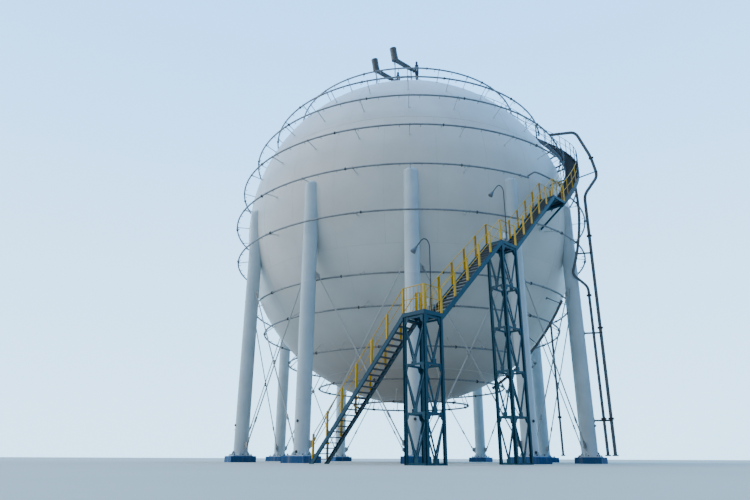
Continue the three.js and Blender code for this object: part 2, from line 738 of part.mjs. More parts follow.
function ringTube(index, tube) {
  const latitude = radians(RING_LATITUDES[index]);
  const reach = SHELL_RADIUS + ringOffset(index);
  const torus = new THREE.TorusGeometry(reach * Math.cos(latitude), tube, 4, RING_SEGMENTS);
  torus.translate(0, 0, CENTRE_HEIGHT + reach * Math.sin(latitude));
  return solidOf(torus);
}

function sprayRing(index) {
  const latitude = RING_LATITUDES[index];
  const offset = ringOffset(index);
  const solids = [ringTube(index, RING_TUBE)];
  for (let i = 0; i < STANDOFF_COUNT; i++) {
    const azimuth = 15 + (360 / STANDOFF_COUNT) * i;
    const ends = [overShell(azimuth, latitude, offset), overShell(azimuth, latitude, -120)];
    solids.push(bar(ends, STANDOFF_WIDTH));
  }
  return largestBody(joined(solids).subtract(shellSpace).subtract(walkways));
}

RING_LATITUDES.forEach((_, i) => {
  addMesh("spray_ring_" + String(i + 1).padStart(2, "0"), sprayRing(i), grey, 0.6, 0.5);
});

// Spray pipes from the ground up to the rings
function flange(point, along) {
  const half = along.clone().setLength(FLANGE_THICKNESS / 2);
  return pipe([point.clone().sub(half), point.clone().add(half)], FLANGE_RADIUS, 8);
}

function riserPipe(points, radius, flangeHeights, bottom) {
  const solids = [pipe(points, radius)];
  const foot = points[0].clone();
  foot.z = bottom + FLANGE_THICKNESS / 2;
  solids.push(flange(foot, UP));
  for (const height of flangeHeights) {
    const next = points.findIndex((point) => point.z > height);
    const a = points[next - 1];
    const b = points[next];
    const point = a.clone().lerp(b, (height - a.z) / (b.z - a.z));
    solids.push(flange(point, b.clone().sub(a)));
  }
  return joined(solids);
}

const headerClear = RING_OFFSET + RING_TUBE + HEADER_RADIUS + GAP;
const upperRingIndex = 2;
const upperRiserPoints = [
  polar(62, 13150, INLET_HEIGHT),
  polar(62, 13200, 16850),
  polar(64.5, 14100, 18320),
  polar(63.3, 13850, 19700),
  polar(61.5, 13120, 21600),
  overShell(56, RING_LATITUDES[upperRingIndex], RING_OFFSET),
];
const upperRiser = riserPipe(upperRiserPoints, RISER_RADIUS, [3000, 8400, 15600, 19600], INLET_HEIGHT);

const headerLatitudes = [-21, -15, -9, -3, 1, 5];
const headerArc = headerLatitudes.map((latitude) => overShell(HEADER_AZIMUTH, latitude, headerClear));
const middleRiserPoints = [polar(61.6, 12760, INLET_HEIGHT), polar(61.6, 12760, 10550), ...headerArc];
const middleRiser = riserPipe(middleRiserPoints, HEADER_RADIUS, [3000, 8400], INLET_HEIGHT);

// The risers share brackets off the leg beside them, with one stay off the shell and one off the stair
const riserLeg = 2;
const riserBrackets = RISER_BRACKETS.map((height) => {
  return bar([polar(62, 13150, height), polar(legAzimuth(riserLeg), LEG_CIRCLE, height)], 100);
});
const headerStay = bar([headerArc[5], overShell(HEADER_AZIMUTH, 5, -120)], STANDOFF_WIDTH);
const stairSide = stationPoint(stations[RISER_STAY_STATION], crownEdge - 20, -150);
const riserSide = upperRiserPoints[2].clone().lerp(upperRiserPoints[3], 0.2);
const riserStay = bar([stairSide, riserSide], STANDOFF_WIDTH);
const riserSpaces = joined([
  legSpace(riserLeg),
  shellSpace,
  ringTube(upperRingIndex, RING_TUBE + 2 * GAP),
  stringerSpaces[1],
]);
const riserParts = [upperRiser, middleRiser, ...riserBrackets, headerStay, riserStay];
const risers = joined(riserParts).subtract(riserSpaces);
addMesh("spray_risers", largestBody(risers), grey, 0.6, 0.5);

const lowerArc = [-29, -36, -43, -50, -57, -61].map((latitude) => overShell(56, latitude, headerClear));
const dropTop = lowerArc[1];
const drop = pipe([new THREE.Vector3(dropTop.x, dropTop.y, INLET_HEIGHT), dropTop], DRAIN_RADIUS * 1.5);
const lowerStays = [lowerArc[0], lowerArc[2]].map((point) => {
  return bar([point, point.clone().lerp(new THREE.Vector3(0, 0, CENTRE_HEIGHT), 0.09)], STANDOFF_WIDTH);
});
const lowerHeader = joined([pipe(lowerArc, HEADER_RADIUS), drop, ...lowerStays]);
addMesh("lower_spray_header", largestBody(lowerHeader.subtract(shellSpace)), grey, 0.6, 0.5);

// Crown platform: a floor ring on short posts, with its hand rail
function crownPlatform() {
  const floorCentre = new THREE.Vector3(0, 0, CROWN_FLOOR - LANDING_THICKNESS / 4);
  const floor = drum(floorCentre, CROWN_PLATFORM_RADIUS, LANDING_THICKNESS / 2, CROWN_PLATFORM_SIDES);
  const solids = [floor];
  for (let i = 0; i < CROWN_POSTS; i++) {
    const azimuth = (360 / CROWN_POSTS) * i;
    const head = polar(azimuth, CROWN_PLATFORM_RADIUS * 0.85, CROWN_FLOOR - 20);
    const foot = head.clone().setZ(CROWN_FLOOR - 900);
    solids.push(bar([foot, head], 120));
  }
  const stair = stations[stations.length - 1].centre;
  const stairAzimuth = THREE.MathUtils.radToDeg(Math.atan2(stair.x, -stair.y));
  const step = 360 / CROWN_PLATFORM_SIDES;
  const first = stairAzimuth + step * 0.55;
  const floorPoints = Array.from({ length: CROWN_PLATFORM_SIDES }, (_, i) => {
    const azimuth = first + (i * (360 - step * 1.1)) / (CROWN_PLATFORM_SIDES - 1);
    return polar(azimuth, CROWN_PLATFORM_RADIUS * 0.93, CROWN_FLOOR - 20);
  });
  const postPoints = floorPoints.filter((_, i) => i % 2 === 0 || i === floorPoints.length - 1);
  solids.push(railing(floorPoints, postPoints));
  return solids;
}

function ventRiser(index) {
  const foot = VENT_VALVES[index].clone();
  const tail = foot.clone().add(VENT_REACH);
  const at = (point, height) => new THREE.Vector3(point.x, point.y, height);
  return joined([
    pipe([at(foot, crownTop - 200), at(foot, VENT_PIPE_LEVEL + 500)], VENT_FOOT_RADIUS),
    pipe([at(foot, VENT_PIPE_LEVEL - 700), at(foot, VENT_PIPE_LEVEL + 850)], VENT_VALVE_RADIUS),
    pipe([at(foot, VENT_PIPE_LEVEL), at(tail, VENT_PIPE_LEVEL)], VENT_PIPE_RADIUS),
    pipe([at(tail, VENT_PIPE_LEVEL - 120), at(tail, VENT_TOP_LEVEL)], VENT_STACK_RADIUS),
    pipe([at(tail, CROWN_FLOOR - 700), at(tail, VENT_PIPE_LEVEL)], 45, 4),
  ]);
}

function ventSpace(index) {
  const foot = VENT_VALVES[index];
  const tail = foot.clone().add(VENT_REACH);
  const height = 3000;
  const centre = (point) => new THREE.Vector3(point.x, point.y, CROWN_FLOOR);
  return joined([drum(centre(foot), VENT_HOLE_RADIUS, height, 8), drum(centre(tail), 90, height, 8)]);
}

const manwayCentre = new THREE.Vector3(900, 900, crownTop);
const manwaySpace = drum(manwayCentre, MANWAY_RADIUS * 1.4, 3000, 12);
const platformHoles = joined([ventSpace(0), ventSpace(1), manwaySpace, shellSpace]);
addMesh("crown_platform", largestBody(joined(crownPlatform()).subtract(platformHoles)), blue);
addMesh("relief_vent_1", largestBody(ventRiser(0).subtract(shellSpace)), grey, 0.6, 0.5);
addMesh("relief_vent_2", largestBody(ventRiser(1).subtract(shellSpace)), grey, 0.6, 0.5);

// Manway on the crown and outlet under the shell
function manway() {
  const centre = (height) => new THREE.Vector3(manwayCentre.x, manwayCentre.y, height);
  const neck = pipe([centre(crownTop - 400), centre(crownTop + MANWAY_RISE)], MANWAY_RADIUS * 0.85, 12);
  const lidSpan = [centre(crownTop + MANWAY_RISE - 130), centre(crownTop + MANWAY_RISE)];
  const lid = pipe(lidSpan, MANWAY_RADIUS * 1.2, 12);
  return joined([neck, lid]);
}
addMesh("crown_manway", largestBody(manway().subtract(shellSpace)), white);

const outlet = joined([
  uprightPipe(OUTLET_RADIUS, outletBottom, CENTRE_HEIGHT - SHELL_RADIUS + 100),
  uprightPipe(OUTLET_RADIUS * 1.5, outletBottom, outletBottom + 90),
]);
addMesh("bottom_outlet", largestBody(outlet.subtract(shellSpace)), white);

// The origin is under the middle of the whole object, on the ground
const extent = new THREE.Box3().setFromObject(tank);
const middle = extent.getCenter(new THREE.Vector3());
tank.position.set(-middle.x, -middle.y, 0);

export default tank;
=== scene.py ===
# A spherical gas tank on twelve legs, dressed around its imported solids.
# Metres, +Z up. Azimuths are in degrees from -Y towards +X, around the tank's upright axis.
import math

import bmesh
import bpy
from mathutils import Euler, Matrix, Vector


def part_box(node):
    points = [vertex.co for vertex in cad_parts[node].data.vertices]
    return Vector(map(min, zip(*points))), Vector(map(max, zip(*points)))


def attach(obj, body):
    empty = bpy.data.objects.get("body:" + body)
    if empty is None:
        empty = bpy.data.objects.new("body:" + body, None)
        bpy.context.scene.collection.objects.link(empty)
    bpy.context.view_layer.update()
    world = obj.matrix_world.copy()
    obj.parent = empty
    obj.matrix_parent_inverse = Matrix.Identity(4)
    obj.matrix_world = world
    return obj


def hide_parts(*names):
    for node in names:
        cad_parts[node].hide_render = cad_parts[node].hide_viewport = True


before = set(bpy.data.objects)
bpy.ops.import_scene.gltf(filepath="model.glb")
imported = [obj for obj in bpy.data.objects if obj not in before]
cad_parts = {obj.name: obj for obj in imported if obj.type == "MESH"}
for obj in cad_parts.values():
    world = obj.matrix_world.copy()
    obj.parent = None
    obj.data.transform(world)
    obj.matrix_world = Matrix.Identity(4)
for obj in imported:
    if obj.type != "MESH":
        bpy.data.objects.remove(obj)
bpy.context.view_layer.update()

bl_info = {
    "name": "Spherical gas tank",
    "version": (1, 0, 0),
    "blender": (4, 5, 0),
    "location": "View3D > Sidebar > Gas tank",
    "description": "Builds a spherical gas tank with its stair, spray rings and crown fittings",
    "category": "Object",
}

UP = Vector((0.0, 0.0, 1.0))
SHELL_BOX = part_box("shell_middle_course")
AXIS = (Vector(SHELL_BOX[0]) + Vector(SHELL_BOX[1])) / 2
SHARP_EDGE = math.radians(35.0)
OVERLAP = 0.01
PAD_THICKNESS = 0.024

# Shell
PLATE_COURSES = ((-60.0, -20.0, 20, 0.5), (-20.0, 20.0, 24, 0.0), (20.0, 60.0, 20, 0.5))
SHELL_COLUMNS = 192
SHELL_ROWS = 96
POLE_RADIUS = 0.002
COURSE_SEAMS = (-60.0, -20.0, 20.0, 60.0)
PETAL_START = 7.5
POLE_SEAM = 78.0
CAP_SEAMS, CAP_SEAM_ENDS = (20.0, 200.0), (60.0, 88.0)
SEAM_STEPS, POLE_SEAM_STEPS = 144, 72
SEAM_OFFSET = -0.012
SEAM_RADIUS = 0.02

# Legs
LEG_COUNT = 12
LEG_STEP = 30.0
LEG_PLATE = 1.15
LEG_PLATE_THICKNESS = 0.05
LEG_WELDS = (3.23, 9.73)
WELD_BEAD = ((0.0, -0.06), (0.0, -0.03), (0.008, -0.015), (0.008, 0.015), (0.0, 0.03), (0.0, 0.06))
LEG_CAP_DROP = 0.03
LEG_CAP = ((1.0, -0.03), (1.0, 0.0), (0.985, 0.06), (0.92, 0.13), (0.78, 0.19), (0.58, 0.235), (0.35, 0.258))
LEG_RIBS = 8
RIB_REACH = 0.55
RIB_INNER, RIB_OUTER = 0.24, 0.05
RIB_THICKNESS = 0.02
ANCHOR_PLACE = 0.5
BOSS_HEIGHTS = (0.56, 2.1)
BOSS = ((0.075, 0.0), (0.075, 0.04), (0.066, 0.05), (0.03, 0.052), (0.03, 0.085), (0.024, 0.09))

# Tie rods
BRACE_LOW = 0.9
BRACE_HIGH = 10.2
ROD_SHIFT = 0.048
ROD_PIN = 0.14
ROD_END = 0.2
PIN_HALF = 0.075
FORK = (0.05, 0.11)
FORK_PLACE, FORK_HALF = 0.12, 0.15
SOCKET_PLACE = 0.13
ROD_SOCKET = ((0.055, 0.0), (0.055, 0.08), (0.045, 0.15))
BUCKLE_PLACE = 1.5
CROSS_PLATE, CROSS_THICKNESS, CROSS_NUTS = 0.15, 0.02, 0.115
ROD_PLATE_BASE, ROD_PLATE_TIP, ROD_PLATE_LIFT = 0.25, 0.12, 0.1
ROD_PLATE_REACH, ROD_PLATE_THICKNESS = 0.26, 0.04
BUCKLE = ((0.045, 0.0), (0.06, 0.03), (0.06, 0.33), (0.045, 0.36))

# Straight stair, in metres along its heading from the point where it touches the tank
HEADING = math.radians(47.33)
ALONG = Vector((math.cos(HEADING), math.sin(HEADING), 0.0))
ACROSS = Vector((-math.sin(HEADING), math.cos(HEADING), 0.0))
STAIR_TURN = Euler((0.0, 0.0, HEADING))
STAIR_CIRCLE = 13.01
RISER = 0.2277
FLIGHT_RISERS = (26, 20, 19)
LANDING_3 = (-2.28, -0.99)
LANDING_2 = (-8.18, -6.85)
LANDING_1 = (-14.19, -13.04)
LANDING_1_DEPTH = 1.2
FLIGHT_1_RUN = 5.78
LANDING_THICKNESS = 0.16
LANDING_EDGE = (-0.06, LANDING_THICKNESS - 0.002, 0.012)
LANDING_BARS = 32
LANDING_BAR = (0.008, 0.036)
BRACKET_INSET = 0.15
STRUT_RUN, STRUT_FALL = 2.1, 1.35
STRINGER_DEPTH = 0.2
STRINGER_FLANGE = 0.06
STRINGER_SKIN = 0.014
STRINGER_WEB = 0.012
TREAD_GOING = 0.215
TREAD_DEPTH = 0.04
TREAD_MIDDLE = 0.56
TREAD_PLAY = 0.09
TREAD_END = (0.006, TREAD_GOING - 0.01, 0.045)
TREAD_END_INSET, TREAD_END_DROP = 0.036, 0.028
LEVELS = [sum(FLIGHT_RISERS[:flight]) * RISER for flight in (1, 2, 3)]

# Stair towers
TOWER_LEG = 0.12
TOWER_BAR = 0.08
TOWER_FOOT = 0.19
TOWER_PLATE = 0.016
TOWER_FLANGE, TOWER_WEB = 0.014, 0.01
TOWER_RAIL, TOWER_BRACE = (0.06, TOWER_BAR), (0.045, 0.056)
TOWER_JOINT = (0.2, 0.012, 2.2 * TOWER_BAR)
TOWER_GUSSET = 0.012

# Hand rails and lamps of the straight stair
RAIL_INSET = 0.052
RAIL_FOOT = 0.2
FLIGHT_POSTS = ((0, 5), (3, 4), (5, 4))
POST_WIDTH = 0.1
POST_DEPTH = 0.06
POST_WALL = 0.008
POST_PLATE = 0.012
BALUSTER = 0.018
KNEE_RAIL = 0.5
BALUSTER_SPACING = 0.19
LAMP_HEIGHT = 3.15
LAMP_PLACES = (0.49, 0.56)
LAMP_LEAN = ALONG * -0.8 + ACROSS * 0.6
LAMP_TUBE = 0.024
LAMP_FOOT = (0.14, 0.1, 0.016)
LAMP_CLAMP, LAMP_CLAMP_HEIGHTS = (0.075, 0.06, 0.04), (0.53, 1.06)
LAMP_BOX, LAMP_BOX_DOOR = (0.22, 0.11, 0.3), (0.18, 0.008, 0.24)
LAMP_BOX_PLACE = ACROSS * 0.09 + UP * 0.36
LAMP_CABLE, LAMP_CABLE_END = 0.014, 0.33
LAMP_NECK = ((0.0, -0.3), (0.08, -0.08), (0.22, 0.0), (0.34, -0.08), (0.58, -0.42))
LAMP_HEAD = ((0.555, -0.385), (0.69, -0.58))
LAMP_SHADE = ((0.03, 0.0), (0.05, 0.015), (0.056, 0.08), (0.075, 0.11), (0.118, 0.25), (0.125, 0.28),
              (0.125, 0.31), (0.105, 0.32))

# Crown stair
CROWN_START = 43.0
CROWN_SLOPE = math.radians(45.6)
CROWN_CLEARANCE = 1.0
CROWN_TOP_CLEARANCE = 0.6
CROWN_HALF_WIDTH = 0.45
CROWN_STRINGER_BOTTOM = -0.34
CROWN_STRINGER_TOP = 0.03
CROWN_STRINGER_SKIN = 0.016
CROWN_STRINGER_WEB, CROWN_STRINGER_FLANGE = 0.012, 0.06
CROWN_INSET = 0.03
CROWN_TREAD_DROP = 0.13
CROWN_STEP = 0.43
UPPER_STATIONS = 2
CROWN_POST_SPACING = 0.95
CROWN_POST_RADIUS, CROWN_POST_FOOT = 0.026, (0.045, 0.014)
CROWN_STRUT, CROWN_TIE = (0.09, 0.09), (0.07, 0.07)
CROWN_STRUT_PAD = (0.16, 0.024)
CROWN_BRACKETS = range(5, 77, 9)
YELLOW_RAIL_TOP = 17.2

# Spray rings
RING_LATITUDES = (48.9, 36.4, 24.6, 12.5, 0.3, -11.8, -27.5, -35.9, -47.8, -59.9, -72.0)
RING_STEPS = 360
WALK_LOW, WALK_HIGH, WALK_SIDE, WALK_AHEAD = -0.45, 2.08, 0.56, 0.3
LANDING_WALK = (1.395, 0.535, 1.225)
LANDING_WALK_SHIFT, LANDING_WALK_RISE = -0.6, 0.825
STAND_OFF = (0.045, 0.006)
STAND_OFF_PAD = (0.085, 0.016)
STRAP = (0.045, 0.116, 0.122)
NOZZLE_TILT = 0.25
COUPLINGS, COUPLING_START, COUPLING_SHIFT = 12, 9.0, 4.0
INNER_RING = 6
INNER_OFFSET = 0.65
BYPASS_RING = 4
BYPASS = ((37.2, 3.7, -0.02), (37.8, 4.3, 0.45), (40.0, 4.4, 0.45), (42.5, 4.4, 0.45), (45.5, 4.4, 0.45),
          (48.5, 4.4, 0.45), (49.0, 4.4, -0.02))

# Spray risers
RISER_AZIMUTH = 62.0
RISER_CIRCLE = 13.15
RISER_TUBE = 0.1
RISER_TOP = 16.85
RISER_LEAN = 0.05
RISER_BEND = ((64.5, 14.1, 18.32), (63.3, 13.85, 19.7), (61.5, 13.12, 21.6))
RISER_FLANGES = (2.5, 7.9, 13.95, 19.6)
RISER_BRACKETS = (2.4, 7.6, 12.8)
RISER_STAY_STATION = 12
RISER_FLANGE, RISER_INLET = 0.17, 0.175
RISER_CHANNEL, RISER_PLATE = (0.05, 0.1, 0.008), (0.28, 0.24)
MIDDLE_AZIMUTH = 61.6
MIDDLE_CIRCLE = 12.76
MIDDLE_TOP = 10.55
MIDDLE_FLANGES = (2.5, 10.0)
MIDDLE_FLANGE, MIDDLE_INLET = 0.16, 0.165
HEADER_AZIMUTH = 57.0
HEADER_TUBE = 0.085
HEADER_CLEAR = 0.99
HEADER_LATITUDES = (-21, -18, -15, -12, -9, -6, -3, -1, 1, 3, 5)
LOWER_AZIMUTH = 56.0
LOWER_LATITUDES = (-29, -32.5, -36, -39.5, -43, -46.5, -50, -53.5, -57, -61)
LOWER_TUBE = 0.065
LOWER_FLANGE, LOWER_FLANGE_HEIGHT = 0.12, 2.6
HEADER_STAY, RISER_STAY = (0.05, 0.007), (0.085, 0.009)
HEADER_PAD = (0.09, 0.016)
INLET_HEIGHT = 0.42

# Crown platform
CROWN_RADIUS = 2.25
CROWN_RISE = 0.35
CROWN_EDGE = ((-0.07, -0.06), (0.0, -0.06), (0.0, 0.06), (-0.012, 0.06), (-0.012, -0.048), (-0.07, -0.048))
CROWN_POST_CIRCLE, CROWN_RAIL_CIRCLE = 0.85 * CROWN_RADIUS, 0.93 * CROWN_RADIUS
CROWN_SIDES = 12
CROWN_CROSS, CROWN_POST = (0.06, 0.07), (0.1, 0.1)
TOE_LOW, TOE_HIGH, TOE_THICKNESS = 0.03, 0.13, 0.006
CROWN_BAR, CROWN_HOLE_BAR = (0.008, 0.035), (0.012, 0.045)
MANWAY_HOLE, VALVE_HOLE, POST_HOLE = 0.56, 0.2, 0.09
CROWN_BARS = 44
CROWN_RAIL_GAP = 16.5
CROWN_RAIL_SIDES = 24
MANWAY_PLACE = Vector((0.9, 0.9, 0.0))
MANWAY_ARM = Vector((0.53, 0.0, 0.0))
ARM_HEIGHT = 1.25
LID_BOLTS, LID_BOLT_CIRCLE = 0.717, 0.43
OUTLET_BOLTS, OUTLET_BOLT_CIRCLE = -0.815, 0.335

# Relief vents
VENT_VALVES = (Vector((0.87, -1.6, 0.0)), Vector((-0.67, -0.25, 0.0)))
VENT_REACH = Vector((-1.77, -1.4, 0.0))
VENT_LEVEL = 2.5
VENT_PIPE = 0.19
VENT_STACK = 0.28
VENT_FALL = 0.24
VENT_LEAN = 0.2
VENT_POST_SHARE = 0.27
VENT_FLANGE = 0.165
VENT_OUTLET = 0.11
VENT_CONE = 0.22
VENT_BEND = 0.34
VENT_COLLARS = (0.5, 0.8)
VENT_DRAIN, VENT_DRAIN_LENGTH = 0.018, 0.3
VENT_POSTS = ((1.0, 0.04), (VENT_POST_SHARE, 0.045))
VENT_SADDLE, VENT_POST_PAD = (0.2, 0.18, 0.02), (0.13, 0.03)
VALVE_FLANGES = (0.62, 1.22, 1.86)
VALVE_BOLTS, LEVER_HEIGHT = 2.9, 3.06
HUB_HEIGHT = 0.85
WHEEL_REACH, WHEEL_RADIUS = 0.42, 0.15

# Nuts, nozzles and couplings: radius and height
ANCHOR_NUT = (0.04, 0.06)
ROD_NUT = (0.026, 0.03)
TOWER_NUT = (0.014, 0.03)
RAIL_NUT = (0.009, 0.014)
PIPE_NUT = (0.016, 0.026)
VENT_NUT = (0.015, 0.026)
COVER_NUT = (0.022, 0.04)
NOZZLE = (0.03, 0.13)
COUPLING = (0.092, 0.06)

# Light and camera
SKY_LOW, SKY_HIGH = (0.42, 0.73, 1.0), (0.17, 0.49, 1.0)
FRONT_AIR = (1.0, 0.97, 0.91)
FRONT_SIDE = (-0.62, -0.75, -0.2)
BRIGHT_SIDE = (-0.16, 0.68, 0.72)
DIM_SIDE = (0.73, -0.61, 0.31)
KEY_SIDE = Vector((-0.7, 0.0, 0.75))
KEY_COLOUR = (1.0, 0.97, 0.93)
KEY_ENERGY = 0.4
KEY_ANGLE = math.radians(30.0)
CAMERA_PLACE = Vector((AXIS.x - 0.652, AXIS.y - 42.92, 0.25))
CAMERA_YAW, CAMERA_PITCH, CAMERA_ROLL = math.radians(2.565), math.radians(19.319), math.radians(0.234)
CAMERA_LENS, CAMERA_SENSOR = 28.52, 36.0
CAMERA_REACH = 2000.0


def metres(name, default, description):
    return bpy.props.FloatProperty(name=name, description=description, default=default, unit="LENGTH")


def paint_colour(name, default, description):
    return bpy.props.FloatVectorProperty(
        name=name, description=description, default=default, subtype="COLOR", size=3)


class TankSizes(bpy.types.PropertyGroup):
    """Sizes of the tank that a user would change."""

    shell_radius: metres("Shell radius", 12.0, "Outer radius of the spherical shell")
    centre_height: metres("Centre height", 15.9, "Height of the shell's centre over the ground")
    leg_circle: metres("Leg circle", 11.86, "Radius of the circle on which the legs stand")
    leg_radius: metres("Leg radius", 0.425, "Outer radius of a leg tube")
    plinth_width: metres("Plinth width", 1.5, "Side of the square block under a leg")
    plinth_height: metres("Plinth height", 0.35, "Height of the block under a leg")
    rod_radius: metres("Tie rod radius", 0.036, "Radius of a round tie rod between two legs")
    ring_offset: metres("Ring offset", 0.845, "Distance of a spray ring off the shell")
    ring_tube: metres("Ring tube radius", 0.055, "Radius of a spray ring's tube")
    nozzle_spacing: metres("Nozzle spacing", 1.25, "Distance between two spray nozzles on a ring")
    stair_width: metres("Stair width", 0.95, "Width of the straight stair over its stringers")
    rail_height: metres("Rail height", 1.1, "Height of the hand rail over the treads")
    rail_radius: metres("Rail radius", 0.021, "Radius of a hand rail tube")
    floor_size: metres("Floor size", 900.0, "Side of the square studio floor")


class TankColours(bpy.types.PropertyGroup):
    """Paints of the tank that a user would change."""

    shell: paint_colour("Shell paint", (0.66, 0.67, 0.65), "Paint of the shell")
    # Painted shade: the legs' white paint is tinted blue-grey with less red, standing in for the sky-lit
    # shade on them; the same colour goes on the pads, the lamp box and the covers.
    legs: paint_colour("Leg paint", (0.52, 0.63, 0.69), "Paint of the legs and the stays on the shell")
    plinth: paint_colour("Plinth paint", (0.01, 0.075, 0.20), "Paint of the blocks under the legs")
    stair: paint_colour("Stair paint", (0.0, 0.05, 0.088), "Paint of the flights, landings and towers")
    rail: paint_colour("Rail paint", (0.62, 0.35, 0.0), "Paint of the hand rails")
    zinc: paint_colour("Zinc", (0.30, 0.32, 0.335), "Colour of the galvanised pipes and rods")
    grating: paint_colour("Grating", (0.085, 0.10, 0.115), "Colour of the dark crown stair")
    fitting: paint_colour("Fittings", (0.045, 0.05, 0.055), "Colour of dark clamps and flanges")
    pipe: paint_colour("Riser pipes", (0.12, 0.14, 0.155), "Paint of the spray risers and headers")
    vent: paint_colour("Vent pipes", (0.115, 0.125, 0.135), "Colour of the vent pipes and stacks")
    valve: paint_colour("Valves", (0.02, 0.06, 0.14), "Paint of the relief valves")
    floor: paint_colour("Floor", (0.46, 0.395, 0.315), "Colour of the studio floor")


def sizes():
    return bpy.context.scene.tank_sizes


# Places around the tank
def polar(azimuth, radius, height):
    angle = math.radians(azimuth)
    return Vector((AXIS.x + radius * math.sin(angle), AXIS.y - radius * math.cos(angle), height))


def bearing(azimuth):
    """The level unit vector that an azimuth points to."""
    angle = math.radians(azimuth)
    return Vector((math.sin(angle), -math.cos(angle), 0.0))


def over_shell(azimuth, latitude, distance):
    reach = sizes().shell_radius + distance
    angle = math.radians(latitude)
    return polar(azimuth, reach * math.cos(angle), sizes().centre_height + reach * math.sin(angle))


def at_height(point, height):
    return Vector((point.x, point.y, height))


def centre_point():
    return at_height(AXIS, sizes().centre_height)


def stair_point(along, across, height):
    tangent = polar(math.degrees(HEADING), STAIR_CIRCLE, height)
    return tangent + ALONG * along + ACROSS * across


def half_width():
    return sizes().stair_width / 2


def to_shell(point, direction):
    """Where a line from the point meets the shell."""
    offset = point - centre_point()
    half = offset.dot(direction)
    inside = half * half - offset.dot(offset) + sizes().shell_radius ** 2
    if inside < 0:
        raise RuntimeError("a bracket misses the shell")
    return point + direction * (-half - math.sqrt(inside))


def spokes(direction, count):
    """Unit vectors across a line, all round it."""
    along = direction.normalized()
    side = along.orthogonal().normalized()
    rise = along.cross(side)
    turns = [2 * math.pi * i / count for i in range(count)]
    return [side * math.cos(t) + rise * math.sin(t) for t in turns]


def around(centre, direction, radius, count):
    """Points on a circle around a line, each with the line's direction."""
    return [(centre + spoke * radius, direction.normalized()) for spoke in spokes(direction, count)]


def round_pairs(points):
    """Each point with the next, and the last with the first."""
    return zip(points, points[1:] + points[:1])


# Outlines of bars, as points across and up
def rectangle(width, height):
    w, h = width / 2, height / 2
    return [(-w, -h), (w, -h), (w, h), (-w, h)]


def channel(flange, depth, wall):
    d = depth / 2
    web = math.copysign(wall, flange)
    return [(0, -d), (flange, -d), (flange, -d + wall), (web, -d + wall),
            (web, d - wall), (flange, d - wall), (flange, d), (0, d)]


def angle_iron(width, wall, height=0.0):
    return [(0, 0), (width, 0), (width, wall), (wall, wall), (wall, height or width), (0, height or width)]


def rounded(path, radius, steps=5):
    """The path with its corners turned into short curves."""
    result = [path[0]]
    for before, corner, after in zip(path, path[1:], path[2:]):
        into, out = before - corner, after - corner
        reach = min(radius, into.length * 0.45, out.length * 0.45)
        start = corner + into.normalized() * reach
        end = corner + out.normalized() * reach
        for i in range(steps + 1):
            t = i / steps
            result.append(start.lerp(corner, t).lerp(corner.lerp(end, t), t))
    return result + [path[-1]]


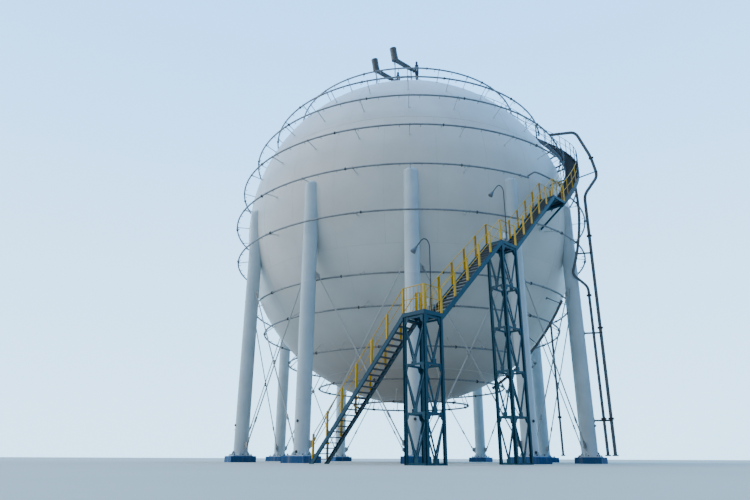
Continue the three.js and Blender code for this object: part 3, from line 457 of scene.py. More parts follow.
class Shape:
    """Points and faces of one piece while it is being made."""

    def __init__(self):
        self.points = []
        self.faces = []
        self.finishes = []

    def loft(self, rows, finish=0, closed=False):
        """A skin over rows of points, closed by end faces or joined in a ring."""
        start, count, width = len(self.points), len(rows), len(rows[0])
        faces = []
        for row in range(count if closed else count - 1):
            here, there = start + row * width, start + (row + 1) % count * width
            for i in range(width):
                j = (i + 1) % width
                faces.append([here + i, here + j, there + j, there + i])
        if not closed:
            faces.append([start + i for i in range(width)][::-1])
            faces.append([start + (count - 1) * width + i for i in range(width)])
        self.points += [point for row in rows for point in row]
        self.faces += faces
        self.finishes += [finish] * len(faces)

    def plate(self, outline, thickness):
        """A flat plate: an outline pushed along a vector."""
        self.loft([outline, [point + thickness for point in outline]])

    def web(self, outline, thickness):
        """A flat plate with the outline in its middle."""
        self.plate([point - thickness / 2 for point in outline], thickness)

    def beam(self, start, end, outline, finish=0, up=UP):
        """A straight bar with the outline across its length."""
        along = (end - start).normalized()
        hint = Vector((1.0, 0.0, 0.0)) if abs(along.dot(up)) > 0.99 else up
        side = along.cross(hint).normalized()
        rise = side.cross(along)
        section = [side * u + rise * v for u, v in outline]
        self.loft([[start + s for s in section], [end + s for s in section]], finish)

    def tube(self, path, radius, sides=12, finish=0):
        """A round tube along a path, with mitred corners."""
        side = (path[1] - path[0]).normalized().orthogonal().normalized()
        rows = []
        for i, point in enumerate(path):
            arriving = (point - path[i - 1]).normalized() if i else (path[1] - path[0]).normalized()
            leaving = (path[i + 1] - point).normalized() if i + 1 < len(path) else arriving
            normal = (arriving + leaving).normalized()
            side = (side - arriving * side.dot(arriving)).normalized()
            rise = arriving.cross(side)
            row = []
            for k in range(sides):
                turn = 2 * math.pi * k / sides
                spoke = (side * math.cos(turn) + rise * math.sin(turn)) * radius
                row.append(point + spoke - arriving * (spoke.dot(normal) / arriving.dot(normal)))
            rows.append(row)
        self.loft(rows, finish)

    def turned(self, foot, direction, profile, sides=24, finish=0):
        """A turned shape: radius and distance pairs around a line."""
        along = direction.normalized()
        ring = spokes(direction, sides)
        rows = [[foot + along * distance + spoke * radius for spoke in ring] for radius, distance in profile]
        self.loft(rows, finish)

    def disc(self, centre, direction, radius, thickness, sides=24, finish=0):
        bevel = min(thickness, radius) * 0.12
        self.collar(centre, direction, (radius - bevel, radius), thickness, sides, finish, bevel)

    def collar(self, centre, direction, radii, width, sides=20, finish=1, bevel=0.004):
        """A band around a line, with the smaller radius at its edges."""
        inner, outer = radii
        half = width / 2
        profile = [(inner, -half), (outer, -half + bevel), (outer, half - bevel), (inner, half)]
        self.turned(centre, direction, profile, sides, finish)

    def hoop(self, centre, direction, radius, tube, steps=24, sides=6, finish=0):
        """A round bar bent into a full circle."""
        along = direction.normalized()
        turns = [2 * math.pi * k / sides for k in range(sides)]
        rows = [[centre + spoke * (radius + tube * math.cos(t)) + along * tube * math.sin(t) for t in turns]
                for spoke in spokes(direction, steps)]
        self.loft(rows, finish, closed=True)

    def box(self, centre, size, turn=0.0, finish=0, bevel=0.0):
        """An upright box, its top edges cut back by the bevel."""
        spin = Matrix.Rotation(turn, 3, "Z")
        levels = [(-size[2] / 2, 0.0), (size[2] / 2 - bevel, 0.0)] + [(size[2] / 2, bevel)] * (bevel > 0)
        rows = []
        for height, inset in levels:
            corners = rectangle(size[0] - 2 * inset, size[1] - 2 * inset)
            rows.append([centre + spin @ Vector((u, v, height)) for u, v in corners])
        self.loft(rows, finish)


def linked(mesh, name):
    piece = bpy.data.objects.new(name, mesh)
    bpy.context.collection.objects.link(piece)
    return piece


def declare(mesh, name, slot, *nodes):
    """Smooths a finished mesh and makes it a piece that rides on the tank and stands for its nodes."""
    mesh.polygons.foreach_set("use_smooth", [True] * len(mesh.polygons))
    mesh.set_sharp_from_angle(angle=SHARP_EDGE)
    mesh.update()
    piece = linked(mesh, name)
    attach(piece, "root")
    if nodes:
        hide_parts(*nodes)


def make_piece(name, shape, finishes, slot, *nodes):
    """Turns a shape into a piece, with its faces pointing outwards."""
    mesh = bpy.data.meshes.new(name)
    mesh.from_pydata(shape.points, [], shape.faces)
    for finish in finishes:
        mesh.materials.append(material_of(finish))
    mesh.polygons.foreach_set("material_index", shape.finishes)
    cleaner = bmesh.new()
    cleaner.from_mesh(mesh)
    bmesh.ops.recalc_face_normals(cleaner, faces=cleaner.faces)
    cleaner.to_mesh(mesh)
    cleaner.free()
    declare(mesh, name, slot, *nodes)


# Geometry Nodes: trees that put a small shape on every point of a carrier mesh
def fed(tree, node, inputs):
    """Sets inputs of a node: a socket is linked, and anything else is a value."""
    for name, value in inputs.items():
        if isinstance(value, bpy.types.NodeSocket):
            tree.links.new(value, node.inputs[name])
        else:
            node.inputs[name].default_value = value
    return node


def node_in(tree, kind, inputs=None, **settings):
    node = tree.nodes.new(kind)
    for key, value in settings.items():
        setattr(node, key, value)
    return fed(tree, node, inputs or {})


def new_tree(name, inputs):
    """A tree with named inputs, and the node that holds them."""
    tree = bpy.data.node_groups.new(name, "GeometryNodeTree")
    for way in ("INPUT", "OUTPUT"):
        tree.interface.new_socket("Geometry", in_out=way, socket_type="NodeSocketGeometry")
    for label, kind, default in inputs:
        socket = tree.interface.new_socket(label, in_out="INPUT", socket_type="NodeSocket" + kind)
        socket.default_value = default
    tree.interface.new_socket("Material", in_out="INPUT", socket_type="NodeSocketMaterial")
    return tree, node_in(tree, "NodeGroupInput")


def close_tree(tree, source, geometry):
    """Ends a tree in Realize Instances and Set Material."""
    whole = node_in(tree, "GeometryNodeRealizeInstances", {"Geometry": geometry}).outputs["Geometry"]
    finished = node_in(tree, "GeometryNodeSetMaterial",
                       {"Geometry": whole, "Material": source.outputs["Material"]})
    node_in(tree, "NodeGroupOutput", {"Geometry": finished.outputs["Geometry"]})
    return tree


def instanced(tree, source, shapes, facing):
    """Instances of the joined shapes on the carrier's points, turned by the named attribute."""
    join = node_in(tree, "GeometryNodeJoinGeometry")
    for shape in shapes:
        fed(tree, join, {"Geometry": shape})
    named = node_in(tree, "GeometryNodeInputNamedAttribute", {"Name": "facing" if facing else "turn"},
                    data_type="FLOAT_VECTOR")
    vector = next(s for s in named.outputs if s.enabled and s.name == "Attribute")
    if facing:
        turned = node_in(tree, "FunctionNodeAlignRotationToVector", {"Vector": vector}, axis="Z")
    else:
        turned = node_in(tree, "FunctionNodeEulerToRotation", {"Euler": vector})
    place = node_in(tree, "GeometryNodeInstanceOnPoints", {
        "Points": source.outputs["Geometry"], "Instance": join.outputs["Geometry"],
        "Rotation": turned.outputs["Rotation"]})
    return close_tree(tree, source, place.outputs["Instances"])


def scaled_value(tree, value, factor):
    return node_in(tree, "ShaderNodeMath", {0: value, 1: factor}, operation="MULTIPLY").outputs[0]


def vector_of(tree, **parts):
    return node_in(tree, "ShaderNodeCombineXYZ", parts).outputs["Vector"]


def moved(tree, solid, offset):
    """The mesh of a primitive, moved by a vector."""
    transform = node_in(tree, "GeometryNodeTransform",
                        {"Geometry": solid.outputs["Mesh"], "Translation": offset})
    return transform.outputs["Geometry"]


# Small fittings as stacked cylinders: sides, shares of the radius and the height, and lift of each
FITTINGS = {
    "stud": ((6, 1.0, 0.75, 0.5), (10, 1.35, 0.2, 0.05), (6, 0.5, 0.5, 1.0)),
    "nozzle": ((6, 0.6, 0.6, 0.3), (8, 1.0, 0.4, 0.8)),
    "sleeve": ((12, 0.85, 1.0, 0.0), (12, 1.0, 0.22, -0.32), (12, 1.0, 0.22, 0.32)),
}


def fitting_tree(kind):
    """Nuts, spray nozzles or pipe sleeves, sized by a radius and a height."""
    tree, source = new_tree(kind, [("Radius", "Float", 0.03), ("Height", "Float", 0.05)])
    radius, height = source.outputs["Radius"], source.outputs["Height"]
    shapes = []
    for sides, radius_share, height_share, lift in FITTINGS[kind]:
        cylinder = node_in(tree, "GeometryNodeMeshCylinder", {
            "Vertices": sides, "Radius": scaled_value(tree, radius, radius_share),
            "Depth": scaled_value(tree, height, height_share)}, fill_type="NGON")
        shapes.append(moved(tree, cylinder, vector_of(tree, Z=scaled_value(tree, height, lift))))
    return instanced(tree, source, shapes, True)


def slat_tree():
    """Upright or level boxes, such as balusters and floor bars."""
    tree, source = new_tree("slats", [("Size", "Vector", (0.02, 0.02, 1.0))])
    cube = node_in(tree, "GeometryNodeMeshCube", {"Size": source.outputs["Size"]})
    return instanced(tree, source, [cube.outputs["Mesh"]], False)


def tread_tree():
    """Open stair treads: a nosing, a back bar and bars between them."""
    inputs = [("Width", "Float", 0.84), ("Going", "Float", 0.24), ("Depth", "Float", 0.035)]
    tree, source = new_tree("open treads", inputs)
    width, going, depth = (source.outputs[label] for label, _, _ in inputs)
    shapes = []
    bars = [(-0.44, 0.028, 1.0), (0.48, 0.008, 1.0)] + [(-0.34 + 0.092 * i, 0.007, 0.8) for i in range(9)]
    for place, thickness, share in bars:
        size = vector_of(tree, X=width, Y=thickness, Z=scaled_value(tree, depth, share))
        cube = node_in(tree, "GeometryNodeMeshCube", {"Size": size})
        offset = vector_of(tree, Y=scaled_value(tree, going, place), Z=scaled_value(tree, depth, -share / 2))
        shapes.append(moved(tree, cube, offset))
    return instanced(tree, source, shapes, False)


def bead_tree():
    """Weld beads: a low round profile along the carrier's edges."""
    tree, source = new_tree("weld beads", [("Radius", "Float", 0.02)])
    curve = node_in(tree, "GeometryNodeMeshToCurve", {"Mesh": source.outputs["Geometry"]})
    ring = node_in(tree, "GeometryNodeCurvePrimitiveCircle",
                   {"Resolution": 6, "Radius": source.outputs["Radius"]})
    skin = node_in(tree, "GeometryNodeCurveToMesh", {
        "Curve": curve.outputs["Curve"], "Profile Curve": ring.outputs["Curve"], "Fill Caps": True})
    return close_tree(tree, source, skin.outputs["Mesh"])


TREES = {}


def tree_of(kind):
    if kind not in TREES:
        makers = {"slat": slat_tree, "tread": tread_tree, "bead": bead_tree}
        TREES[kind] = fitting_tree(kind) if kind in FITTINGS else makers[kind]()
    return TREES[kind]


def grown(name, kind, carrier_mesh, finish, slot, **settings):
    carrier = linked(carrier_mesh, name + "_carrier")
    modifier = carrier.modifiers.new(kind, "NODES")
    modifier.node_group = tree_of(kind)
    settings["Material"] = material_of(finish)
    for item in modifier.node_group.interface.items_tree:
        if item.in_out == "INPUT" and item.name in settings:
            modifier[item.identifier] = settings[item.name]
    depsgraph = bpy.context.evaluated_depsgraph_get()
    mesh = bpy.data.meshes.new_from_object(carrier.evaluated_get(depsgraph))
    carrier.modifiers.remove(modifier)
    bpy.data.objects.remove(carrier)
    mesh.name = name
    if not mesh.polygons:
        raise RuntimeError(name + " came out empty")
    declare(mesh, name, slot)


def point_carrier(places, attribute):
    """A mesh of loose points, each with a vector."""
    mesh = bpy.data.meshes.new("points")
    mesh.from_pydata([place for place, _ in places], [], [])
    values = mesh.attributes.new(attribute, "FLOAT_VECTOR", "POINT")
    values.data.foreach_set("vector", [number for _, vector in places for number in vector])
    return mesh


def turned_boxes(name, kind, places, finish, slot, **settings):
    """Slats or treads, each at its place and turn."""
    grown(name, kind, point_carrier(places, "turn"), finish, slot, **settings)


def fittings(name, kind, places, size, finish, slot):
    """Nuts, nozzles or sleeves, each at its place and facing its own way."""
    grown(name, kind, point_carrier(places, "facing"), finish, slot, Radius=size[0], Height=size[1])


def studs(name, places, size, finish, slot):
    fittings(name, "stud", places, size, finish, slot)


# Finishes: every one is procedural, on Object coordinates
def object_place(tree):
    return node_in(tree, "ShaderNodeTexCoord").outputs["Object"]


def pattern(tree, scale, stretch=(1.0, 1.0, 1.0), detail=4.0, roughness=0.55):
    """Noise on Object coordinates, stretched by the mapping."""
    mapping = node_in(tree, "ShaderNodeMapping", {"Vector": object_place(tree), "Scale": stretch})
    noise = node_in(tree, "ShaderNodeTexNoise", {
        "Vector": mapping.outputs["Vector"], "Scale": scale, "Detail": detail, "Roughness": roughness})
    return noise.outputs["Fac"]


def band(tree, value, low, high, low_value=0.0, high_value=1.0):
    """A value spread between two limits."""
    spread = node_in(tree, "ShaderNodeMapRange", {
        "Value": value, "From Min": low, "From Max": high, "To Min": low_value, "To Max": high_value,
    }, interpolation_type="SMOOTHSTEP")
    return spread.outputs["Result"]


def mixed(tree, share, first, second):
    """A colour between two colours; each is a socket or a plain colour."""
    mix = node_in(tree, "ShaderNodeMix", {"Factor": share}, data_type="RGBA")
    sockets = [index for index, socket in enumerate(mix.inputs) if socket.type == "RGBA"]
    for index, colour in zip(sockets, (first, second)):
        plain = not isinstance(colour, bpy.types.NodeSocket)
        fed(tree, mix, {index: (*colour, 1.0) if plain else colour})
    return next(s for s in mix.outputs if s.type == "RGBA")


def shaded(colour, factor):
    return tuple(min(part * factor, 1.0) for part in colour)


def new_material(name):
    material = bpy.data.materials.new(name)
    material.use_nodes = True
    return material, material.node_tree, material.node_tree.nodes["Principled BSDF"]


def finish_surface(tree, shader, base, roughness, fine, bump, settings):
    """The colour, the roughness between two limits and the bump of a fine grain."""
    rough = band(tree, fine, 0.25, 0.75, *roughness)
    strength, distance = bump
    raised = node_in(tree, "ShaderNodeBump", {"Strength": strength, "Distance": distance, "Height": fine})
    surface = {"Base Color": base, "Roughness": rough, "Normal": raised.outputs["Normal"]}
    fed(tree, shader, {**surface, **settings})


def painted(name, colour, roughness, grain, soil, soil_share, streaks,
            chips=None, dent=0.004, underside_shade=None):
    """Weathered paint: patches of tone, dirt in runs, rust where chips is set, and painted shade that darkens
    it towards the bottom, below a height, where the last argument is set.
    """
    material, tree, shader = new_material(name)
    tone = band(tree, pattern(tree, grain, detail=6.0), 0.3, 0.7)
    base = mixed(tree, tone, shaded(colour, 0.92), shaded(colour, 1.04))
    runs = band(tree, pattern(tree, streaks, (1.0, 1.0, 0.06), 5.0, 0.6), 0.5, 0.78, 0.0, soil_share)
    base = mixed(tree, runs, base, soil)
    if chips:
        spots = band(tree, pattern(tree, grain * 9.0, detail=8.0, roughness=0.7), 0.66, 0.72)
        base = mixed(tree, spots, base, chips)
    # Painted shade: darker towards the bottom, with a dark brown mixed in below a height and fading out above
    # it.
    if underside_shade:
        parts = node_in(tree, "ShaderNodeSeparateXYZ", {"Vector": object_place(tree)})
        base = mixed(tree, band(tree, parts.outputs["Z"], *underside_shade[1:], 0.0), base, underside_shade[0])
    fine = pattern(tree, grain * 18.0, detail=3.0)
    limits = (roughness - 0.06, roughness + 0.1)
    finish_surface(tree, shader, base, limits, fine, (0.35, dent), {"Specular IOR Level": 0.25})
    return material


def galvanised(name, colour, roughness, metallic, scale):
    """Dull zinc: crystal patches, cloudy stains and a fine grain."""
    material, tree, shader = new_material(name)
    cells = node_in(tree, "ShaderNodeTexVoronoi", {"Vector": object_place(tree), "Scale": scale})
    grey = node_in(tree, "ShaderNodeSeparateColor", {"Color": cells.outputs["Color"]})
    crystals = band(tree, grey.outputs["Red"], 0.0, 1.0)
    spangle = mixed(tree, crystals, shaded(colour, 0.86), shaded(colour, 1.16))
    cloud = band(tree, pattern(tree, 1.3, (1.0, 1.0, 0.3), 5.0), 0.45, 0.75, 0.0, 0.55)
    base = mixed(tree, cloud, spangle, shaded(colour, 0.62))
    fine = pattern(tree, 60.0, detail=3.0)
    limits = (roughness - 0.08, roughness + 0.12)
    finish_surface(tree, shader, base, limits, fine, (0.3, 0.002), {"Metallic": metallic})
    return material


def floor_finish(name, colour):
    """Pale, faintly clouded studio floor."""
    material, tree, shader = new_material(name)
    tone = band(tree, pattern(tree, 0.12, detail=5.0), 0.3, 0.7)
    base = mixed(tree, tone, shaded(colour, 0.97), shaded(colour, 1.02))
    fed(tree, shader, {"Base Color": base, "Roughness": 0.85})
    return material


DUST, RUST = (0.42, 0.43, 0.42), (0.16, 0.06, 0.025)
# Painted shade on the shell's underside: its dark colour, the heights between which it fades out upwards, and
# its share at the bottom.
SHELL_UNDERSIDE_SHADE = ((0.28, 0.205, 0.165), 4.2, 9.6, 0.62)


def finishes():
    """What makes each finish, and what that is given after the name."""
    paint = bpy.context.scene.tank_colours
    return {
        # The shell paint carries painted shade on its underside, darker towards the bottom.
        "shell paint": (painted, paint.shell, 0.42, 0.35, (0.58, 0.62, 0.65), 0.32, 0.9,
                        None, 0.003, SHELL_UNDERSIDE_SHADE),
        "weld paint": (painted, shaded(paint.shell, 0.93), 0.5, 2.0, (0.50, 0.53, 0.55), 0.4, 2.0),
        # Painted shade: a blue-grey copy of the white paint, standing in for the sky-lit shade on the legs.
        "leg paint": (painted, paint.legs, 0.55, 0.9, (0.46, 0.52, 0.54), 0.45, 1.8),
        # Painted shade: the tie rods and their plates take the shell paint darkened, as the shell looks in
        # shade.
        "rod paint": (painted, shaded(paint.shell, 0.62), 0.6, 2.0, (0.40, 0.41, 0.40), 0.45, 2.5),
        "plinth paint": (painted, paint.plinth, 0.7, 2.2, DUST, 0.35, 2.5, None, 0.01),
        "stair paint": (painted, paint.stair, 0.45, 1.6, (0.03, 0.10, 0.14), 0.5, 2.2, RUST),
        "rail paint": (painted, paint.rail, 0.42, 2.4, (0.30, 0.22, 0.05), 0.5, 3.0, RUST),
        "valve paint": (painted, paint.valve, 0.4, 3.0, DUST, 0.35, 3.0),
        "grating": (painted, paint.grating, 0.6, 2.0, (0.16, 0.14, 0.12), 0.5, 2.5, RUST),
        "fitting": (painted, paint.fitting, 0.5, 4.0, (0.12, 0.11, 0.10), 0.5, 3.0, RUST),
        "pipe paint": (painted, paint.pipe, 0.5, 1.4, (0.16, 0.13, 0.10), 0.4, 2.4, RUST),
        "ring zinc": (galvanised, shaded(paint.zinc, 0.75), 0.5, 0.3, 14.0),
        "zinc": (galvanised, paint.zinc, 0.48, 0.55, 14.0),
        "bright zinc": (galvanised, shaded(paint.zinc, 1.35), 0.42, 0.6, 18.0),
        "vent steel": (galvanised, paint.vent, 0.55, 0.35, 9.0),
        "studio floor": (floor_finish, paint.floor),
    }


MATERIALS = {}


def material_of(name):
    if name not in MATERIALS:
        maker, *given = finishes()[name]
        MATERIALS[name] = maker(name, *given)
    return MATERIALS[name]


# Shell
def build_shell():
    radius = sizes().shell_radius
    turns = [math.pi * (i / SHELL_ROWS - 0.5) for i in range(SHELL_ROWS + 1)]
    profile = [(max(radius * math.cos(turn), POLE_RADIUS), radius * math.sin(turn)) for turn in turns]
    shape = Shape()
    shape.turned(centre_point(), UP, profile, SHELL_COLUMNS)
    nodes = ["shell_bottom_cap", "shell_lower_course", "shell_middle_course",
             "shell_upper_course", "shell_top_cap"]
    make_piece("shell_plates", shape, ["shell paint"], "shell_paint", *nodes)


def build_weld_seams():
    """Girth welds between the courses, and upright welds between the petals."""
    points, edges = [], []

    def chain(path, closed=False):
        start, count = len(points), len(path)
        points.extend(path)
        edges.extend((start + i, start + (i + 1) % count) for i in range(count if closed else count - 1))

    def girth(latitude, steps):
        chain([over_shell(360.0 * i / steps, latitude, SEAM_OFFSET) for i in range(steps)], True)

    def upright(azimuth, low, high):
        count = round(abs(high - low) / 2.0)
        chain([over_shell(azimuth, low + (high - low) * i / count, SEAM_OFFSET) for i in range(count + 1)])

    for latitude in COURSE_SEAMS:
        girth(latitude, SEAM_STEPS)
    for low, high, count, shift in PLATE_COURSES:
        for i in range(count):
            upright(PETAL_START + 360.0 * (i + shift) / count, low, high)
    for side in (-1, 1):
        for azimuth in CAP_SEAMS:
            upright(azimuth, *(side * end for end in CAP_SEAM_ENDS))
        girth(side * POLE_SEAM, POLE_SEAM_STEPS)
    mesh = bpy.data.meshes.new("seams")
    mesh.from_pydata(points, edges, [])
    grown("weld_seams", "bead", mesh, "weld paint", "shell_paint", Radius=SEAM_RADIUS)


# Legs
def leg_centre(index, height):
    return polar(LEG_STEP * index, sizes().leg_circle, height)


def build_legs():
    size = sizes()
    tubes, blocks, bosses, nuts = Shape(), Shape(), Shape(), []
    r, top = size.leg_radius, size.centre_height - LEG_CAP_DROP
    plate_top = size.plinth_height + LEG_PLATE_THICKNESS
    profile = [(r, plate_top - OVERLAP)]
    profile += [(r + swell, weld + rise) for weld in LEG_WELDS for swell, rise in WELD_BEAD]
    profile += [(r * share, top + rise) for share, rise in LEG_CAP]
    plate = (LEG_PLATE, LEG_PLATE, LEG_PLATE_THICKNESS)
    block = (size.plinth_width, size.plinth_width, size.plinth_height)
    for index in range(LEG_COUNT):
        turn = math.radians(LEG_STEP * index)
        foot = leg_centre(index, 0.0)
        tubes.turned(foot, UP, profile, 40)
        tubes.box(at_height(foot, plate_top - LEG_PLATE_THICKNESS / 2), plate, turn, bevel=0.006)
        for rib in range(LEG_RIBS):
            spoke = turn + 2 * math.pi * (rib + 0.5) / LEG_RIBS
            out = Vector((math.cos(spoke), math.sin(spoke), 0.0))
            inner, outer = foot + out * (r - OVERLAP), foot + out * RIB_REACH
            outline = [at_height(inner, plate_top - 0.002), at_height(outer, plate_top - 0.002),
                       at_height(outer, plate_top + RIB_OUTER), at_height(inner, plate_top + RIB_INNER)]
            tubes.web(outline, UP.cross(out) * RIB_THICKNESS)
        out = (foot - at_height(AXIS, 0.0)).normalized()
        for height in BOSS_HEIGHTS:
            bosses.turned(at_height(foot, height) + out * (r - OVERLAP), out, BOSS, 20)
        blocks.box(at_height(foot, size.plinth_height / 2), block, turn, bevel=0.03)
        spots = [(u, v) for u in (-1, 0, 1) for v in (-1, 0, 1) if u or v]
        for u, v in spots:
            spot = Matrix.Rotation(turn, 3, "Z") @ Vector((u * ANCHOR_PLACE, v * ANCHOR_PLACE, plate_top))
            nuts.append((foot + spot, UP))
    nodes = ["leg_%02d" % number for number in range(1, LEG_COUNT + 1)]
    make_piece("leg_tubes", tubes, ["leg paint"], "leg_paint", *nodes)
    make_piece("leg_blocks", blocks, ["plinth paint"], "leg_paint")
    make_piece("leg_bosses", bosses, ["fitting"], "leg_paint")
    studs("leg_anchor_nuts", nuts, ANCHOR_NUT, "fitting", "leg_paint")


# Tie rods
def build_tie_rods():
    rods, plates, clamps, nuts = Shape(), Shape(), Shape(), []
    leg = sizes().leg_radius
    for bay in range(LEG_COUNT):
        here, there = leg_centre(bay, 0.0), leg_centre(bay + 1, 0.0)
        level = (there - here).normalized()
        out = level.cross(UP)
        for low, high, shift in ((here, there, out * -ROD_SHIFT), (there, here, out * ROD_SHIFT)):
            direction = (high - low).normalized()
            start = at_height(low + direction * (leg + ROD_PIN), BRACE_LOW)
            end = at_height(high - direction * (leg + ROD_PIN), BRACE_HIGH)
            along = (end - start).normalized()
            rod = [start + shift + along * ROD_END, end + shift - along * ROD_END]
            rods.tube(rod, sizes().rod_radius, 12)
            for tip, inward in ((start, along), (end, -along)):
                fork, half = tip + shift + inward * FORK_PLACE, along * FORK_HALF
                clamps.beam(fork - half, fork + half, rectangle(*FORK), 0, out)
                clamps.turned(fork + inward * SOCKET_PLACE, inward, ROD_SOCKET, 12)
                nuts += [(tip + face * PIN_HALF, face) for face in (out, -out)]
            clamps.turned(start + shift + along * BUCKLE_PLACE, along, BUCKLE, 8)
        crossing = at_height((here + there) / 2, (BRACE_LOW + BRACE_HIGH) / 2)
        plates.disc(crossing, out, CROSS_PLATE, CROSS_THICKNESS, 20)
        for face in (out, -out):
            nuts += around(crossing + face * CROSS_THICKNESS / 2, face, CROSS_NUTS, 4)
        for foot, inward in ((here, level), (there, -level)):
            for height, lift in ((BRACE_LOW, ROD_PLATE_LIFT), (BRACE_HIGH, -ROD_PLATE_LIFT)):
                tip = height + lift
                base, far = foot + inward * (leg - 0.03), foot + inward * (leg + ROD_PLATE_REACH)
                outline = [at_height(base, height - ROD_PLATE_BASE), at_height(base, height + ROD_PLATE_BASE),
                           at_height(far, tip + ROD_PLATE_TIP), at_height(far, tip - ROD_PLATE_TIP)]
                plates.web(outline, out * ROD_PLATE_THICKNESS)
    nodes = ["brace_rods_%d" % number for number in range(1, 5)]
    # The rods and their plates wear the shell paint darkened as painted shade.
    make_piece("tie_rods", rods, ["rod paint"], "leg_paint", *nodes)
    make_piece("rod_plates", plates, ["rod paint"], "leg_paint")
    make_piece("rod_clamps", clamps, ["zinc"], "galvanised_rod")
    studs("rod_nuts", nuts, ROD_NUT, "zinc", "galvanised_rod")


# Straight stair
def flight_runs():
    """Foot, head and the direction across each flight."""
    middle = LANDING_1[0] + half_width()
    far = -half_width() + LANDING_1_DEPTH
    return [
        (stair_point(middle, far + FLIGHT_1_RUN, 0.0), stair_point(middle, far, LEVELS[0]), ALONG),
        (stair_point(LANDING_1[1], 0.0, LEVELS[0]), stair_point(LANDING_2[0], 0.0, LEVELS[1]), ACROSS),
        (stair_point(LANDING_2[1], 0.0, LEVELS[1]), stair_point(LANDING_3[0], 0.0, LEVELS[2]), ACROSS),
    ]


def build_flights():
    grates = []
    for number, (foot, head, side) in enumerate(flight_runs(), 1):
        shape = Shape()
        run = at_height(head - foot, 0.0)
        length, rise = run.length, head.z - foot.z
        level = run.normalized()
        slope = rise / length
        deep, skin = (depth * math.hypot(1.0, slope) for depth in (STRINGER_DEPTH, STRINGER_SKIN))

        def strip(top, bottom, offset, thickness):
            """A sloping strip between two depths under the line of nosings, cut off level at the ground."""
            outline = []
            for distance, depth in ((0.0, top), (length, top), (length, bottom), (0.0, bottom)):
                if distance == 0.0 and foot.z == 0.0:
                    distance = depth / slope
                point = foot + level * distance + side * offset
                outline.append(at_height(point, foot.z + slope * distance - depth))
            shape.plate(outline, side * thickness)

        for sign in (-1, 1):
            outer = sign * half_width()
            strip(0.0, deep, outer, -sign * STRINGER_WEB)
            strip(0.0, skin, outer, -sign * STRINGER_FLANGE)
            strip(deep - skin, deep, outer, -sign * STRINGER_FLANGE)
        risers = FLIGHT_RISERS[number - 1]
        facing = math.atan2(level.y, level.x) - math.pi / 2
        for i in range(1, risers):
            distance = length * (i + TREAD_MIDDLE) / risers
            spot = at_height(foot + level * distance, foot.z + rise * i / risers)
            grates.append((spot, Euler((0.0, 0.0, facing))))
            for sign in (-1, 1):
                end = spot + side * sign * (half_width() - TREAD_END_INSET)
                shape.box(end - UP * TREAD_END_DROP, TREAD_END, facing)
        name = "flight_%d" % number
        make_piece(name + "_stringers", shape, ["stair paint"], "stair_paint", name)
    turned_boxes("stair_treads", "tread", grates, "grating", "stair_paint",
                 Width=sizes().stair_width - TREAD_PLAY, Going=TREAD_GOING, Depth=TREAD_DEPTH)


def landing_frames():
    """Name, interval along, interval across and level of each landing."""
    near, far = -half_width(), half_width()
    return [
        ("landing_1", LANDING_1, (near, near + LANDING_1_DEPTH), LEVELS[0]),
        ("landing_2", LANDING_2, (near, far), LEVELS[1]),
        ("landing_3", LANDING_3, (near, far), LEVELS[2]),
    ]


def build_landings():
    gratings = []
    for name, (start, end), (near, far), level in landing_frames():
        shape = Shape()
        middle = level - LANDING_THICKNESS / 2
        for a, b in round_pairs([(start, near), (end, near), (end, far), (start, far)]):
            shape.beam(stair_point(*a, middle), stair_point(*b, middle), channel(*LANDING_EDGE))
        for share in (0.33, 0.67):
            along = start + (end - start) * share
            ends = [stair_point(along, across, middle - 0.01) for across in (near + OVERLAP, far - OVERLAP)]
            shape.beam(*ends, rectangle(0.012, LANDING_THICKNESS - 0.04))
        if name == "landing_3":
            for along in (start + BRACKET_INSET, end - BRACKET_INSET):
                build_bracket(shape, along, near, level)
        make_piece(name + "_frame", shape, ["stair paint", "leg paint"], "stair_paint", name)
        centre, step = (start + end) / 2, (far - near - 0.06) / (LANDING_BARS - 1)
        bars = [(stair_point(centre, near + 0.03 + step * i, level - LANDING_BAR[1] / 2), STAIR_TURN)
                for i in range(LANDING_BARS)]
        gratings.append((name + "_grating", bars, end - start - 0.02))
    for name, bars, length in gratings:
        turned_boxes(name, "slat", bars, "grating", "stair_paint", Size=(length, *LANDING_BAR))


def build_bracket(shape, along, near, level):
    """A cantilever from the shell under the last landing."""
    outer = stair_point(along, near + 0.04, level - LANDING_THICKNESS - 0.06)
    inward = at_height(centre_point() - outer, 0.0).normalized()
    down = (inward * STRUT_RUN - UP * STRUT_FALL).normalized()
    for direction, outline in ((inward, rectangle(0.1, 0.12)), (down, rectangle(0.08, 0.09))):
        wall = to_shell(outer, direction)
        shape.beam(outer, wall, outline)
        build_pad(shape, wall, 0.13, 20, 1)


def build_pad(shape, wall, radius, sides, finish=0):
    """A round pad on the shell."""
    normal = (wall - centre_point()).normalized()
    shape.disc(wall + normal * PAD_THICKNESS / 2, normal, radius, PAD_THICKNESS, sides, finish)


